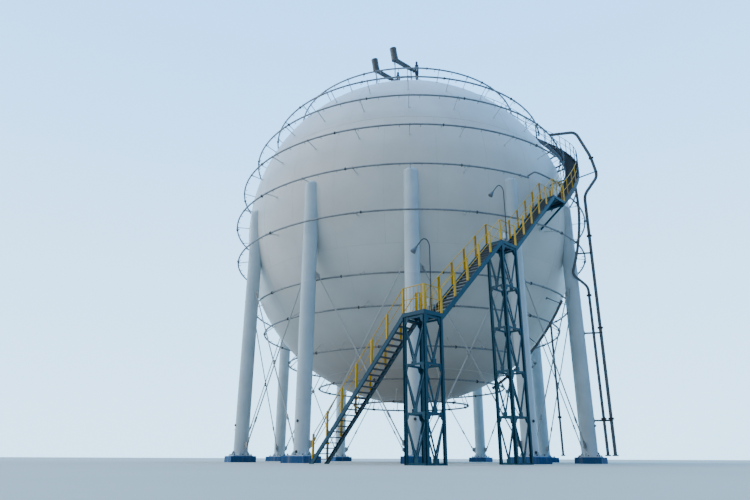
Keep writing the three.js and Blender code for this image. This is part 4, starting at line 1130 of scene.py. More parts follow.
# Stair towers
def build_towers():
    nuts = []
    for number, bays in ((1, 3), (2, 5)):
        _, (start, end), (near, far), level = landing_frames()[number - 1]
        name = "stair_tower_%d" % number
        shape = Shape()
        top = level - LANDING_THICKNESS - 0.0003
        inset = TOWER_LEG / 2
        corners = [(start + inset, near + inset), (end - inset, near + inset),
                   (end - inset, far - inset), (start + inset, far - inset)]
        middle = ((start + end) / 2, (near + far) / 2)
        for corner in corners:
            build_tower_leg(shape, nuts, corner, top, middle)
        bay_height = (top - TOWER_BAR) / bays
        for a, b in round_pairs(corners):
            half = ((a[0] + b[0]) / 2, (a[1] + b[1]) / 2)
            out = (ALONG * (half[0] - middle[0]) + ACROSS * (half[1] - middle[1])).normalized()
            for bay in range(bays):
                low, high = max(bay * bay_height, TOWER_BAR / 2), (bay + 1) * bay_height
                for height in [high, low] if bay == 0 else [high]:
                    shape.beam(stair_point(*a, height), stair_point(*b, height), rectangle(*TOWER_RAIL))
                foot = stair_point(*half, low + TOWER_JOINT[2])
                for corner in (a, b):
                    shape.beam(foot, stair_point(*corner, high - 2 * TOWER_BAR), rectangle(*TOWER_BRACE))
                    joint = stair_point(*corner, high)
                    inward = (stair_point(*half, high) - joint).normalized()
                    build_gusset(shape, joint + inward * 0.05 + out * 0.03, inward, out)
                plate = stair_point(*half, low + 1.6 * TOWER_BAR)
                shape.box(plate + out * 0.03, TOWER_JOINT, math.atan2(inward.y, inward.x))
        make_piece(name + "_frame", shape, ["stair paint"], "stair_paint", name)
    studs("tower_anchor_nuts", nuts, TOWER_NUT, "fitting", "stair_paint")


def build_tower_leg(shape, nuts, corner, top, middle):
    """A leg of two flanges and a web, on a base plate that reaches inwards."""
    along, across = corner

    def inwards(distance):
        return [here + math.copysign(distance, centre - here) for here, centre in zip(corner, middle)]

    for sign in (-1, 1):
        centre = stair_point(along, across + sign * (TOWER_LEG - TOWER_FLANGE) / 2, top / 2)
        shape.box(centre, (TOWER_LEG, TOWER_FLANGE, top), HEADING)
    shape.box(stair_point(along, across, top / 2), (TOWER_WEB, TOWER_LEG - 0.02, top), HEADING)
    foot = stair_point(*inwards((TOWER_FOOT - TOWER_LEG) / 2), TOWER_PLATE / 2)
    shape.box(foot, (TOWER_FOOT, TOWER_FOOT, TOWER_PLATE), HEADING)
    shape.box(stair_point(along, across, top - TOWER_PLATE / 2), (TOWER_LEG, TOWER_LEG, TOWER_PLATE), HEADING)
    inner_along, inner_across = inwards(TOWER_FOOT - TOWER_LEG / 2 - 0.03)
    for spot in ((inner_along, across), (along, inner_across), (inner_along, inner_across)):
        nuts.append((stair_point(*spot, TOWER_PLATE), UP))


def build_gusset(shape, corner, inward, out):
    """A small plate where a brace meets a leg."""
    shape.web([corner + UP * 0.05, corner + inward * 0.2 + UP * 0.05,
               corner + inward * 0.12 - UP * 0.2, corner - UP * 0.28], out * TOWER_GUSSET)


# Hand rails of the straight stair
def rail_edge():
    return half_width() - RAIL_INSET


def rail_floors():
    """The outer and inner row of floor points, from the foot to the last landing."""
    edge = rail_edge()
    far = -half_width() + LANDING_1_DEPTH
    foot = far + FLIGHT_1_RUN - RAIL_FOOT
    lift = RAIL_FOOT * LEVELS[0] / FLIGHT_1_RUN
    outer_line = LANDING_1[0] + RAIL_INSET
    inner_line = LANDING_1[0] + half_width() + edge
    turn_line = LANDING_1[1] - RAIL_INSET
    outer = [(outer_line, far), (outer_line, -edge), (LANDING_1[1], -edge)]
    inner = [(inner_line, far), (turn_line, far - RAIL_INSET), (turn_line, edge)]
    rows = []
    for line, side, corners in ((outer_line, -edge, outer), (inner_line, edge, inner)):
        row = [stair_point(line, foot, lift)] + [stair_point(*corner, LEVELS[0]) for corner in corners]
        row += [stair_point(along, side, LEVELS[1]) for along in LANDING_2]
        rows.append(row + [stair_point(along, side, LEVELS[2]) for along in LANDING_3])
    return rows


def spaced(start, end, spacing):
    """Points between two ends, about the spacing apart, both ends left out."""
    count = max(1, round((end - start).length / spacing))
    return [start.lerp(end, i / count) for i in range(1, count)]


def rail_pair(shape, floor, top, knee, knee_share, sides=8):
    """A top rail and a thinner knee rail over the floor points."""
    for lift, share in ((top, 1.0), (knee, knee_share)):
        shape.tube([point + UP * lift for point in floor], sizes().rail_radius * share, sides)


def build_rail_post(shape, nuts, foot, outward):
    """An angle-iron post on a foot plate, with its two nuts."""
    top = foot + UP * (sizes().rail_height - sizes().rail_radius)
    side = UP.cross(outward)
    corner = outward * POST_DEPTH / 2 - side * POST_WIDTH / 2
    outline = [(across, -up) for across, up in angle_iron(POST_WIDTH, POST_WALL, POST_DEPTH)][::-1]
    shape.beam(foot + corner + UP * POST_PLATE, top + corner, outline, up=outward)
    turn = math.atan2(outward.y, outward.x)
    shape.box(foot + UP * 0.018, (POST_DEPTH + 0.02, POST_WIDTH, POST_PLATE), turn)
    nuts += [(foot + side * sign * 0.026 - outward * 0.012 + UP * 0.024, UP) for sign in (-1, 1)]


def build_handrails():
    nuts = []
    height = sizes().rail_height
    outer, inner = rail_floors()
    for name, floor, outward in (("handrail_outer", outer, -ACROSS), ("handrail_inner", inner, ACROSS)):
        shape = Shape()
        rail_pair(shape, rounded(floor, 0.1, 4), height - sizes().rail_radius, height * KNEE_RAIL, 0.72, 10)
        posts = list(floor)
        for start, count in FLIGHT_POSTS:
            posts += [floor[start].lerp(floor[start + 1], (i + 1) / (count + 1)) for i in range(count)]
        for post in posts:
            build_rail_post(shape, nuts, post, outward)
        make_piece(name + "_tubes", shape, ["rail paint"], "rail_paint", name)
    studs("rail_foot_nuts", nuts, RAIL_NUT, "fitting", "rail_paint")
    stretches = (outer[1:3], outer[2:4], inner[2:4])
    spots = [spot for ends in stretches for spot in spaced(*ends, BALUSTER_SPACING)]
    balusters = [(spot + UP * (height / 2 + 0.01), STAIR_TURN) for spot in spots]
    turned_boxes("landing_balusters", "slat", balusters, "rail paint", "rail_paint",
                 Size=(BALUSTER, BALUSTER, height - 0.06))


def build_lamps():
    shape = Shape()
    for landing, level, place in zip((LANDING_1, LANDING_2), LEVELS, LAMP_PLACES):
        foot = stair_point(landing[0] + place, -rail_edge(), level)
        neck, head = ([foot + LAMP_LEAN * reach + UP * (LAMP_HEIGHT + rise) for reach, rise in part]
                      for part in (LAMP_NECK, LAMP_HEAD))
        shape.tube(rounded([foot + UP * 0.012] + neck, 0.2, 5), LAMP_TUBE, 10)
        shape.box(foot + UP * 0.012, LAMP_FOOT, HEADING, finish=1)
        for height in LAMP_CLAMP_HEIGHTS:
            shape.box(foot + UP * height, LAMP_CLAMP, HEADING, finish=1)
        box = foot + LAMP_BOX_PLACE
        shape.box(box, LAMP_BOX, HEADING, finish=2, bevel=0.015)
        shape.box(box + ACROSS * 0.058, LAMP_BOX_DOOR, HEADING, finish=2)
        shape.tube([box - UP * LAMP_BOX[2] / 2, box - UP * LAMP_CABLE_END], LAMP_CABLE, 8, 1)
        shape.turned(head[0], head[1] - head[0], LAMP_SHADE, 20, 3)
    make_piece("landing_lamps", shape, ["fitting", "fitting", "leg paint", "pipe paint"], "galvanised_pipe")


# Crown stair
def crown_stations():
    """Centre and direction across all along the stair, where its straight part begins, and its azimuth."""
    stations = []
    reach = sizes().shell_radius + CROWN_CLEARANCE
    azimuth, height = CROWN_START, LEVELS[2] - sizes().centre_height
    slope = math.tan(CROWN_SLOPE)
    step = RISER / slope
    while height < reach * math.cos(CROWN_SLOPE):
        radius = math.sqrt(reach * reach - height * height)
        inward = height / radius * slope
        level = math.sqrt(max(1 - inward * inward, 0.0))
        across = (bearing(azimuth) * level + bearing(azimuth + 90.0) * inward).normalized()
        stations.append((polar(azimuth, radius, sizes().centre_height + height), across))
        azimuth += math.degrees(level * step / radius)
        height += RISER
    winding = len(stations)
    latitude = math.degrees(math.asin(height / reach))
    rim = (CROWN_RADIUS + 0.06) / (sizes().shell_radius + CROWN_TOP_CLEARANCE)
    end = math.degrees(math.acos(rim))
    count = round(math.radians(end - latitude) * reach / CROWN_STEP) * UPPER_STATIONS
    across = bearing(azimuth + 90.0)
    for i in range(count + 1):
        share = i / count
        clearance = CROWN_CLEARANCE + (CROWN_TOP_CLEARANCE - CROWN_CLEARANCE) * share
        stations.append((over_shell(azimuth, latitude + (end - latitude) * share, clearance), across))
    return stations, winding, azimuth


def beside(station, across, rise=0.0):
    centre, side = station
    return centre + side * across + UP * rise


def crown_bracket_station(stations, winding, index):
    """The station that the solid stair's bracket of this index stands at."""
    if index < winding:
        return stations[index]
    place = winding + (index - winding) * UPPER_STATIONS
    return stations[place] if place < len(stations) else None


def build_crown_stair():
    stations, winding, _ = crown_stations()
    shape = Shape()
    low, high, skin = CROWN_STRINGER_BOTTOM, CROWN_STRINGER_TOP, CROWN_STRINGER_SKIN
    plates = ((low, high, CROWN_STRINGER_WEB), (high - skin, high, CROWN_STRINGER_FLANGE),
              (low, low + skin, CROWN_STRINGER_FLANGE))
    for sign in (-1, 1):
        outer = sign * CROWN_HALF_WIDTH
        for bottom, top, thickness in plates:
            inner = outer - sign * thickness
            corners = ((inner, bottom), (outer, bottom), (outer, top), (inner, top))
            shape.loft([[beside(station, *corner) for corner in corners] for station in stations])
    edge = CROWN_HALF_WIDTH - CROWN_INSET
    for index in CROWN_BRACKETS:
        station = crown_bracket_station(stations, winding, index)
        if station is None:
            break
        for sign in (-1, 1):
            top = beside(station, sign * edge, CROWN_STRINGER_BOTTOM + 0.05)
            inward = (centre_point() - top).normalized()
            foot = to_shell(top, inward)
            shape.beam(top, foot, rectangle(*CROWN_STRUT), up=station[1])
            shape.disc(foot - inward * 0.01, -inward, *CROWN_STRUT_PAD, 16)
        ends = [beside(station, side, CROWN_STRINGER_BOTTOM + 0.02) for side in (-edge, edge)]
        shape.beam(*ends, rectangle(*CROWN_TIE))
    make_piece("crown_stair_stringers", shape, ["grating"], "dark_grating", "crown_stair")
    treads = [(centre - UP * CROWN_TREAD_DROP, Euler((0.0, 0.0, math.atan2(side.y, side.x) + math.pi)))
              for centre, side in stations[1:]]
    turned_boxes("crown_stair_treads", "tread", treads, "grating", "dark_grating",
                 Width=2 * CROWN_HALF_WIDTH - CROWN_INSET, Going=TREAD_GOING, Depth=TREAD_DEPTH)


def build_crown_rails():
    stations, _, _ = crown_stations()
    split = next(i for i, (centre, _) in enumerate(stations) if centre.z > YELLOW_RAIL_TOP)
    parts = (("crown_rail_low", stations[:split + 1], "rail paint", "rail_paint",
              ["crown_rail_outer", "crown_rail_inner"]),
             ("crown_rail_high", stations[split:], "fitting", "galvanised_pipe", []))
    height, tube = sizes().rail_height, sizes().rail_radius
    for name, stretch, finish, slot, nodes in parts:
        shape = Shape()
        for sign in (-1, 1):
            line = [beside(station, sign * (CROWN_HALF_WIDTH - CROWN_INSET)) for station in stretch]
            rail_pair(shape, line, height - tube, height * KNEE_RAIL, 0.8)
            posts = [line[0]]
            for here in line:
                if (here - posts[-1]).length > CROWN_POST_SPACING or here == line[-1]:
                    posts.append(here)
            for post in posts:
                shape.tube([post + UP * 0.03, post + UP * (height - tube)], CROWN_POST_RADIUS, 8)
                shape.disc(post + UP * 0.036, UP, *CROWN_POST_FOOT, 10)
        make_piece(name, shape, [finish], slot, *nodes)


# Spray rings
def on_the_walk(point, stations):
    """Whether a point lies where people walk on the crown stair or the last landing."""
    for centre, side in stations:
        away = point - centre
        beside_it, ahead = abs(away.dot(side)), abs(away.dot(UP.cross(side)))
        if WALK_LOW < away.z < WALK_HIGH and beside_it < WALK_SIDE and ahead < WALK_AHEAD:
            return True
    middle = (LANDING_3[0] + LANDING_3[1]) / 2 + LANDING_WALK_SHIFT
    local = point - stair_point(middle, 0.0, LEVELS[2] + LANDING_WALK_RISE)
    return all(abs(local.dot(way)) < room for way, room in zip((ALONG, ACROSS, UP), LANDING_WALK))


def ring_offset(index):
    return INNER_OFFSET if index == INNER_RING else sizes().ring_offset


def build_spray_rings():
    stations, _, _ = crown_stations()
    tube = sizes().ring_tube
    sleeves, nozzles = [], []
    for index, latitude in enumerate(RING_LATITUDES):
        name = "spray_ring_%02d" % (index + 1)
        shape = Shape()
        offset = ring_offset(index)
        points = [over_shell(360.0 * i / RING_STEPS, latitude, offset) for i in range(RING_STEPS)]
        centre = at_height(AXIS, points[0].z)
        radius = (points[0] - centre).length
        clear = [not on_the_walk(point, stations) for point in points]
        if all(clear):
            shape.hoop(centre, UP, radius, tube, 192, 10)
        else:
            for run in open_runs(clear):
                shape.tube([points[i % RING_STEPS] for i in run], tube, 10)
        if index == BYPASS_RING:
            shape.tube(rounded([over_shell(*place) for place in BYPASS], 0.15), tube, 10)
        build_stand_offs(shape, latitude, offset, stations)
        make_piece(name + "_tube", shape, ["ring zinc", "weld paint"], "galvanised_pipe", name)
        count = int(2 * math.pi * radius / sizes().nozzle_spacing)
        for i in range(count):
            place = over_shell(360.0 * (i + 0.5) / count, latitude, offset)
            if not on_the_walk(place, stations):
                inward = (centre_point() - place).normalized()
                nozzles.append((place + inward * tube * 0.8, (inward - UP * NOZZLE_TILT).normalized()))
        for i in range(COUPLINGS):
            azimuth = COUPLING_START + 360.0 * i / COUPLINGS + COUPLING_SHIFT * (index % 3)
            place, ahead = (over_shell(turn, latitude, offset) for turn in (azimuth, azimuth + 0.5))
            if not on_the_walk(place, stations):
                sleeves.append((place, (ahead - place).normalized()))
    fittings("ring_nozzles", "nozzle", nozzles, NOZZLE, "bright zinc", "galvanised_pipe")
    fittings("ring_couplings", "sleeve", sleeves, COUPLING, "fitting", "galvanised_pipe")


def open_runs(clear):
    """Runs of indices around the circle where the ring isn't cut."""
    steps = len(clear)
    start = next(i for i in range(steps) if clear[i] and not clear[i - 1])
    runs = [[]]
    for i in range(start, start + steps):
        if clear[i % steps]:
            runs[-1].append(i)
        elif runs[-1]:
            runs.append([])
    return [run for run in runs if len(run) > 1]


def build_stand_offs(shape, latitude, offset, stations):
    """Angle-iron stays with a pad on the shell and a strap around the ring."""
    count = 24 if abs(latitude) < 55 else 12
    for i in range(count):
        azimuth = 15.0 + 360.0 * i / count
        wall, halfway, ring = (over_shell(azimuth, latitude, away) for away in (-0.02, offset / 2, offset))
        if on_the_walk(ring, stations) or on_the_walk(halfway, stations):
            continue
        if 0.0 > latitude > -45.0 and near_leg(azimuth, ring.z):
            continue
        shape.beam(wall, ring, angle_iron(*STAND_OFF), 1)
        shape.disc(over_shell(azimuth, latitude, 0.008), (ring - wall).normalized(), *STAND_OFF_PAD, 12, 1)
        shape.box(ring, STRAP, math.radians(azimuth))


def near_leg(azimuth, height):
    away = abs((azimuth + LEG_STEP / 2) % LEG_STEP - LEG_STEP / 2)
    return away < 2.5 and height < sizes().centre_height


# Spray risers
def flange_pair(shape, nuts, centre, direction, radius, thickness=0.035):
    """Two flanges face to face with a ring of nuts on both sides."""
    for side in (-direction.normalized(), direction.normalized()):
        shape.disc(centre + side * thickness * 0.55, direction, radius, thickness, 24, 1)
        nuts += around(centre + side * thickness * 1.05, side, radius * 0.8, 8)


def point_at_height(path, height):
    """The point of a rising path at a height, with the direction there."""
    for before, after in zip(path, path[1:]):
        if before.z <= height <= after.z:
            share = (height - before.z) / (after.z - before.z)
            return before.lerp(after, share), (after - before).normalized()
    raise RuntimeError("the pipe doesn't reach that height")


def shell_stay(shape, azimuth, latitude):
    """An angle-iron stay from a header pipe to a pad on the shell, with a clip around the pipe."""
    pipe = over_shell(azimuth, latitude, HEADER_CLEAR)
    shape.beam(pipe, over_shell(azimuth, latitude, -0.02), angle_iron(*HEADER_STAY))
    outward = (pipe - centre_point()).normalized()
    shape.disc(over_shell(azimuth, latitude, 0.008), outward, *HEADER_PAD, 14)
    along = over_shell(azimuth, latitude + 0.5, HEADER_CLEAR) - pipe
    shape.collar(pipe, along, (HEADER_TUBE + 0.004, HEADER_TUBE + 0.008), 0.05, 16)


def pipe_clip(shape, pipe, along, radius):
    shape.collar(pipe, along, (radius, radius + 0.012), 0.06)


def build_riser_bracket(shape, height):
    """A channel from a leg under both risers, with a pad on the leg and a clip on each pipe."""
    start = polar(RISER_AZIMUTH, RISER_CIRCLE + RISER_LEAN * height / RISER_TOP, height)
    towards = leg_centre(2, height) - start
    inward = towards.normalized()
    end = start + inward * (towards.length - sizes().leg_radius + 0.01)
    shape.beam(start, end, channel(*RISER_CHANNEL))
    side = inward.cross(UP)
    shape.plate([end + side * u + UP * v for u, v in rectangle(*RISER_PLATE)], inward * -0.02)
    pipe_clip(shape, start, UP, RISER_TUBE)
    if height < MIDDLE_TOP:
        pipe_clip(shape, polar(MIDDLE_AZIMUTH, MIDDLE_CIRCLE, height), UP, HEADER_TUBE)


def header_end(shape, end, inside):
    shape.disc(end, end - inside, HEADER_TUBE + 0.012, 0.03, 20, 1)


def ring_feeds(shape, azimuth, rings, radius):
    """Short pipes from a header to its rings."""
    for index in rings:
        reaches = (HEADER_CLEAR, ring_offset(index))
        shape.tube([over_shell(azimuth, RING_LATITUDES[index], away) for away in reaches], radius, 10)


def inlet(shape, foot, radius, sides=24):
    """The loose flange at a pipe's foot, where the pipes lead away."""
    shape.disc(foot + UP * 0.035, UP, radius, 0.07, sides, 1)


def build_spray_risers():
    nuts = []
    shape = Shape()
    upper = [polar(RISER_AZIMUTH, RISER_CIRCLE, INLET_HEIGHT),
             polar(RISER_AZIMUTH, RISER_CIRCLE + RISER_LEAN, RISER_TOP)]
    upper += [polar(*place) for place in RISER_BEND]
    upper.append(over_shell(LOWER_AZIMUTH, RING_LATITUDES[2], sizes().ring_offset))
    shape.tube(rounded(upper, 0.4, 6), RISER_TUBE, 16)
    for height in RISER_FLANGES:
        flange_pair(shape, nuts, *point_at_height(upper, height), RISER_FLANGE)
    inlet(shape, upper[0], RISER_INLET)
    middle = [polar(MIDDLE_AZIMUTH, MIDDLE_CIRCLE, height) for height in (INLET_HEIGHT, MIDDLE_TOP)]
    middle += [over_shell(HEADER_AZIMUTH, latitude, HEADER_CLEAR) for latitude in HEADER_LATITUDES]
    shape.tube(rounded(middle, 0.3, 5), HEADER_TUBE, 16)
    for height in MIDDLE_FLANGES:
        flange_pair(shape, nuts, *point_at_height(middle, height), MIDDLE_FLANGE)
    inlet(shape, middle[0], MIDDLE_INLET)
    header_end(shape, middle[-1], middle[-2])
    ring_feeds(shape, HEADER_AZIMUTH, (4, 5), 0.05)
    for height in RISER_BRACKETS:
        build_riser_bracket(shape, height)
    shell_stay(shape, HEADER_AZIMUTH, 4.4)
    stations, _, _ = crown_stations()
    stair_side = beside(stations[RISER_STAY_STATION], CROWN_HALF_WIDTH, -0.15)
    riser_side = upper[2].lerp(upper[3], 0.2)
    shape.beam(stair_side, riser_side, angle_iron(*RISER_STAY))
    pipe_clip(shape, riser_side, upper[3] - upper[2], RISER_TUBE)
    make_piece("spray_riser_pipes", shape, ["pipe paint", "fitting"], "galvanised_pipe", "spray_risers")
    build_lower_header(nuts)
    studs("pipe_nuts", nuts, PIPE_NUT, "fitting", "galvanised_pipe")


def build_lower_header(nuts):
    shape = Shape()
    header = [over_shell(LOWER_AZIMUTH, latitude, HEADER_CLEAR) for latitude in LOWER_LATITUDES]
    shape.tube(header, HEADER_TUBE, 16)
    header_end(shape, header[0], header[1])
    header_end(shape, header[-1], header[-2])
    drop = header[2]
    shape.tube([at_height(drop, INLET_HEIGHT), drop], LOWER_TUBE, 14)
    inlet(shape, at_height(drop, INLET_HEIGHT), LOWER_FLANGE, 20)
    flange_pair(shape, nuts, at_height(drop, LOWER_FLANGE_HEIGHT), UP, LOWER_FLANGE)
    ring_feeds(shape, LOWER_AZIMUTH, (7, 8, 9), 0.045)
    for latitude in (-30, -43):
        shell_stay(shape, LOWER_AZIMUTH, latitude)
    make_piece("lower_header_pipes", shape, ["pipe paint", "fitting"], "galvanised_pipe",
               "lower_spray_header")


# Crown platform
def crown_top():
    return sizes().centre_height + sizes().shell_radius


def crown_floor():
    return crown_top() + CROWN_RISE


def crown_place(offset, height):
    return at_height(AXIS + offset, height)


def crown_shell_height(offset):
    """Height of the shell's surface over a place near the crown."""
    away = offset.x ** 2 + offset.y ** 2
    return sizes().centre_height + math.sqrt(sizes().shell_radius ** 2 - away)


def crown_holes():
    """Centres and radii of what comes through the crown floor."""
    holes = [(MANWAY_PLACE, MANWAY_HOLE)]
    for valve in VENT_VALVES:
        holes.append((valve, VALVE_HOLE))
        holes += [(valve + VENT_REACH * share, POST_HOLE) for share in (VENT_POST_SHARE, 1.0)]
    return holes


def build_crown_frame():
    shape = Shape()
    level = crown_floor()
    rim = [polar(360.0 * i / CROWN_SIDES, CROWN_RADIUS, level - 0.06) for i in range(CROWN_SIDES)]
    for a, b in round_pairs(rim):
        shape.beam(a, b, CROWN_EDGE)
    for azimuth in (0.0, 60.0, 120.0):
        ends = [polar(azimuth + turn, CROWN_RADIUS - 0.02, level - 0.07) for turn in (0.0, 180.0)]
        shape.beam(*ends, rectangle(*CROWN_CROSS))
    for i in range(6):
        head = polar(60.0 * i, CROWN_POST_CIRCLE, level - 0.03)
        foot = at_height(head, crown_shell_height(head - AXIS) - OVERLAP)
        shape.beam(foot, head, rectangle(*CROWN_POST), up=Vector((1.0, 0.0, 0.0)))
        build_pad(shape, foot, 0.15, 16)
    make_piece("crown_platform_frame", shape, ["stair paint"], "stair_paint", "crown_platform")


def build_crown_grating():
    """Bars across the floor, cut around the holes, with a ring in each hole."""
    shape = Shape()
    level = crown_floor() - 0.02
    apothem = CROWN_RADIUS * math.cos(math.pi / CROWN_SIDES) - 0.03
    for i in range(CROWN_BARS):
        y = -apothem + 2 * apothem * i / (CROWN_BARS - 1)
        reach = math.sqrt(max(apothem * apothem - y * y, 0.0)) + 0.03
        cuts = [(-reach, reach)]
        for hole, radius in crown_holes():
            away = abs(y - hole.y)
            if away < radius:
                half = math.sqrt(radius * radius - away * away)
                cuts = [part for low, high in cuts
                        for part in ((low, min(high, hole.x - half)), (max(low, hole.x + half), high))
                        if part[1] - part[0] > 0.04]
        for cut in cuts:
            shape.beam(*(crown_place(Vector((x, y, 0.0)), level) for x in cut), rectangle(*CROWN_BAR))
    for hole, radius in crown_holes():
        turns = [2 * math.pi * k / 20 for k in range(20)]
        for a, b in round_pairs([hole + Vector((math.cos(t), math.sin(t), 0.0)) * radius for t in turns]):
            shape.beam(crown_place(a, level), crown_place(b, level), rectangle(*CROWN_HOLE_BAR))
    make_piece("crown_platform_grating", shape, ["grating"], "dark_grating")


def build_crown_fence():
    """The platform's rail with its posts and toe board, open where the stair comes up."""
    _, _, stair_azimuth = crown_stations()
    shape = Shape()
    start, turn = stair_azimuth + CROWN_RAIL_GAP, (360.0 - 2 * CROWN_RAIL_GAP) / CROWN_RAIL_SIDES
    floor = [polar(start + turn * i, CROWN_RAIL_CIRCLE, crown_floor() - 0.02)
             for i in range(CROWN_RAIL_SIDES + 1)]
    height = sizes().rail_height
    rail_pair(shape, floor, height, height * 0.52, 0.78)
    for point in floor[::2]:
        shape.tube([point + UP * 0.02, point + UP * height], sizes().rail_radius * 0.85, 8)
    for a, b in zip(floor, floor[1:]):
        outline = [a + UP * TOE_LOW, b + UP * TOE_LOW, b + UP * TOE_HIGH, a + UP * TOE_HIGH]
        shape.plate(outline, (b - a).normalized().cross(UP) * TOE_THICKNESS)
    make_piece("crown_platform_rail", shape, ["zinc"], "galvanised_pipe")


# Relief vents
VENT_NECK = ((0.24, -0.15), (0.24, -0.02), (0.14, 0.01), (0.104, 0.05), (0.104, 0.6))
GATE_BODY = ((0.1, 0.66), (0.13, 0.7), (0.14, 0.76), (0.14, 0.94), (0.13, 1.0), (0.1, 1.06), (0.095, 1.2))
RELIEF_BODY = ((0.1, 1.88), (0.12, 1.95), (0.155, 2.1), (0.167, 2.25), (0.167, 2.72), (0.14, 2.82),
               (0.166, 2.84), (0.166, 2.9), (0.1, 2.93), (0.092, 3.16), (0.105, 3.18), (0.105, 3.22),
               (0.07, 3.3), (0.03, 3.345))
STACK = ((VENT_PIPE - 0.01, -0.12), (VENT_PIPE + 0.03, -0.115), (VENT_STACK, -0.06), (VENT_STACK, 0.22),
         (VENT_STACK - 0.01, 0.23), (VENT_STACK - 0.01, 0.955), (VENT_STACK, 0.96), (VENT_STACK, 0.995),
         (VENT_STACK - 0.045, 0.995), (VENT_STACK - 0.05, 0.6))


def build_vents():
    """Each vent: its valves, a tail pipe that rises to a leaning stack, and two posts under the pipe."""
    nuts = []
    for number, valve in enumerate(VENT_VALVES, 1):
        shape = Shape()
        level = crown_top() + VENT_LEVEL
        out, elbow = crown_place(valve, level - VENT_FALL), crown_place(valve + VENT_REACH, level)
        way, span = (elbow - out).normalized(), (elbow - out).length
        reach = VENT_REACH.normalized()
        build_vent_valve(shape, nuts, crown_place(valve, crown_top()), reach)
        neck = VENT_POST_SHARE * span
        wide = neck + VENT_CONE
        outlet = [(VENT_OUTLET, 0.1), (VENT_OUTLET, neck), (VENT_PIPE, wide), (VENT_PIPE, wide + 0.02)]
        shape.turned(out, way, outlet, 24)
        flange_pair(shape, nuts, out + way * 0.3, way, VENT_FLANGE, 0.04)
        lean = (UP + reach * VENT_LEAN).normalized()
        bend = [out + way * (wide - 0.02), elbow, elbow + lean * 0.4]
        shape.tube(rounded(bend, VENT_BEND, 8), VENT_PIPE, 24)
        for share in VENT_COLLARS:
            shape.collar(out + way * span * share, way, (VENT_PIPE, VENT_PIPE + 0.005), 0.024, 24, 0)
        shape.turned(elbow, lean, STACK, 32)
        drain = elbow - UP * 0.1 + way.cross(UP) * 0.12
        shape.tube([drain, drain - UP * VENT_DRAIN_LENGTH], VENT_DRAIN, 8)
        for share, radius in VENT_POSTS:
            offset = valve + VENT_REACH * share
            foot = crown_place(offset, crown_shell_height(offset))
            top = at_height(foot, level - VENT_FALL * (1.0 - share) - 0.1)
            shape.tube([foot - UP * 0.02, top], radius, 12)
            shape.disc(foot + UP * 0.02, UP, *VENT_POST_PAD, 16)
            shape.box(top - UP * 0.045, VENT_SADDLE, math.atan2(reach.y, reach.x))
        make_piece("relief_vent_%d_pipes" % number, shape, ["vent steel", "fitting", "valve paint"],
                   "galvanised_pipe", "relief_vent_%d" % number)
    studs("vent_nuts", nuts, VENT_NUT, "bright zinc", "galvanised_pipe")


def build_vent_valve(shape, nuts, foot, reach):
    """The pad, the gate valve with its hand wheel, and the relief valve over it."""
    low, middle, high = (foot + UP * height for height in VALVE_FLANGES)
    shape.turned(foot, UP, VENT_NECK, 24)
    flange_pair(shape, nuts, low, UP, VENT_FLANGE)
    shape.turned(foot, UP, GATE_BODY, 24, 2)
    side = reach.cross(UP)
    hub = foot + UP * HUB_HEIGHT
    wheel = hub + side * WHEEL_REACH
    shape.tube([hub, wheel + side * 0.03], 0.028, 10, 2)
    shape.disc(hub + side * 0.17, side, 0.09, 0.03, 16, 2)
    shape.hoop(wheel, side, WHEEL_RADIUS, 0.014, finish=2)
    for spoke in range(4):
        turn = math.pi / 4 + math.pi / 2 * spoke
        rim = wheel + (reach * math.cos(turn) + UP * math.sin(turn)) * WHEEL_RADIUS
        shape.tube([wheel, rim], 0.009, 6, 2)
    flange_pair(shape, nuts, middle, UP, VENT_FLANGE)
    shape.tube([middle - UP * 0.02, high - UP * 0.04], 0.1, 20)
    flange_pair(shape, nuts, high, UP, VENT_FLANGE + 0.001)
    shape.turned(foot, UP, RELIEF_BODY, 24, 2)
    nuts += around(foot + UP * VALVE_BOLTS, UP, 0.138, 8)
    lever = foot + UP * LEVER_HEIGHT
    shape.beam(lever, lever + side * 0.15 + UP * 0.05, rectangle(0.02, 0.03), 2)


# Manway and outlet
MANWAY_NECK = ((0.52, -0.2), (0.52, -0.06), (0.36, -0.04), (0.34, 0.0), (0.34, 0.6))
MANWAY_LID = ((0.48, 0.585), (0.48, 0.645), (0.44, 0.65), (0.48, 0.655), (0.48, 0.715), (0.4, 0.72),
              (0.3, 0.745))
OUTLET_NECK = ((0.375, -0.9), (0.375, -0.82), (0.3, -0.8), (0.25, -0.72), (0.25, -0.1), (0.27, -0.04),
               (0.44, -0.015), (0.44, 0.02))


def build_manways():
    nuts = []
    shape = Shape()
    seat = crown_place(MANWAY_PLACE, crown_top())
    shape.turned(seat, UP, MANWAY_NECK, 32)
    shape.turned(seat, UP, MANWAY_LID, 32)
    nuts += around(seat + UP * LID_BOLTS, UP, LID_BOLT_CIRCLE, 20)
    arm, hook = seat + MANWAY_ARM, seat + UP * ARM_HEIGHT
    shape.tube(rounded([arm + UP * 0.3, arm + UP * ARM_HEIGHT, hook], 0.18, 6), 0.03, 10)
    shape.tube([hook, seat + UP * 0.74], 0.014, 8)
    shape.box(arm + Vector((-0.05, 0.0, 0.5)), (0.14, 0.08, 0.1))
    make_piece("crown_manway_cover", shape, ["leg paint"], "shell_paint", "crown_manway")

    shape = Shape()
    seat = centre_point() - UP * sizes().shell_radius
    shape.turned(seat, UP, OUTLET_NECK, 32)
    nuts += around(seat + UP * OUTLET_BOLTS, UP, OUTLET_BOLT_CIRCLE, 16)
    make_piece("bottom_outlet_neck", shape, ["leg paint"], "shell_paint", "bottom_outlet")
    studs("cover_nuts", nuts, COVER_NUT, "bright zinc", "galvanised_pipe")


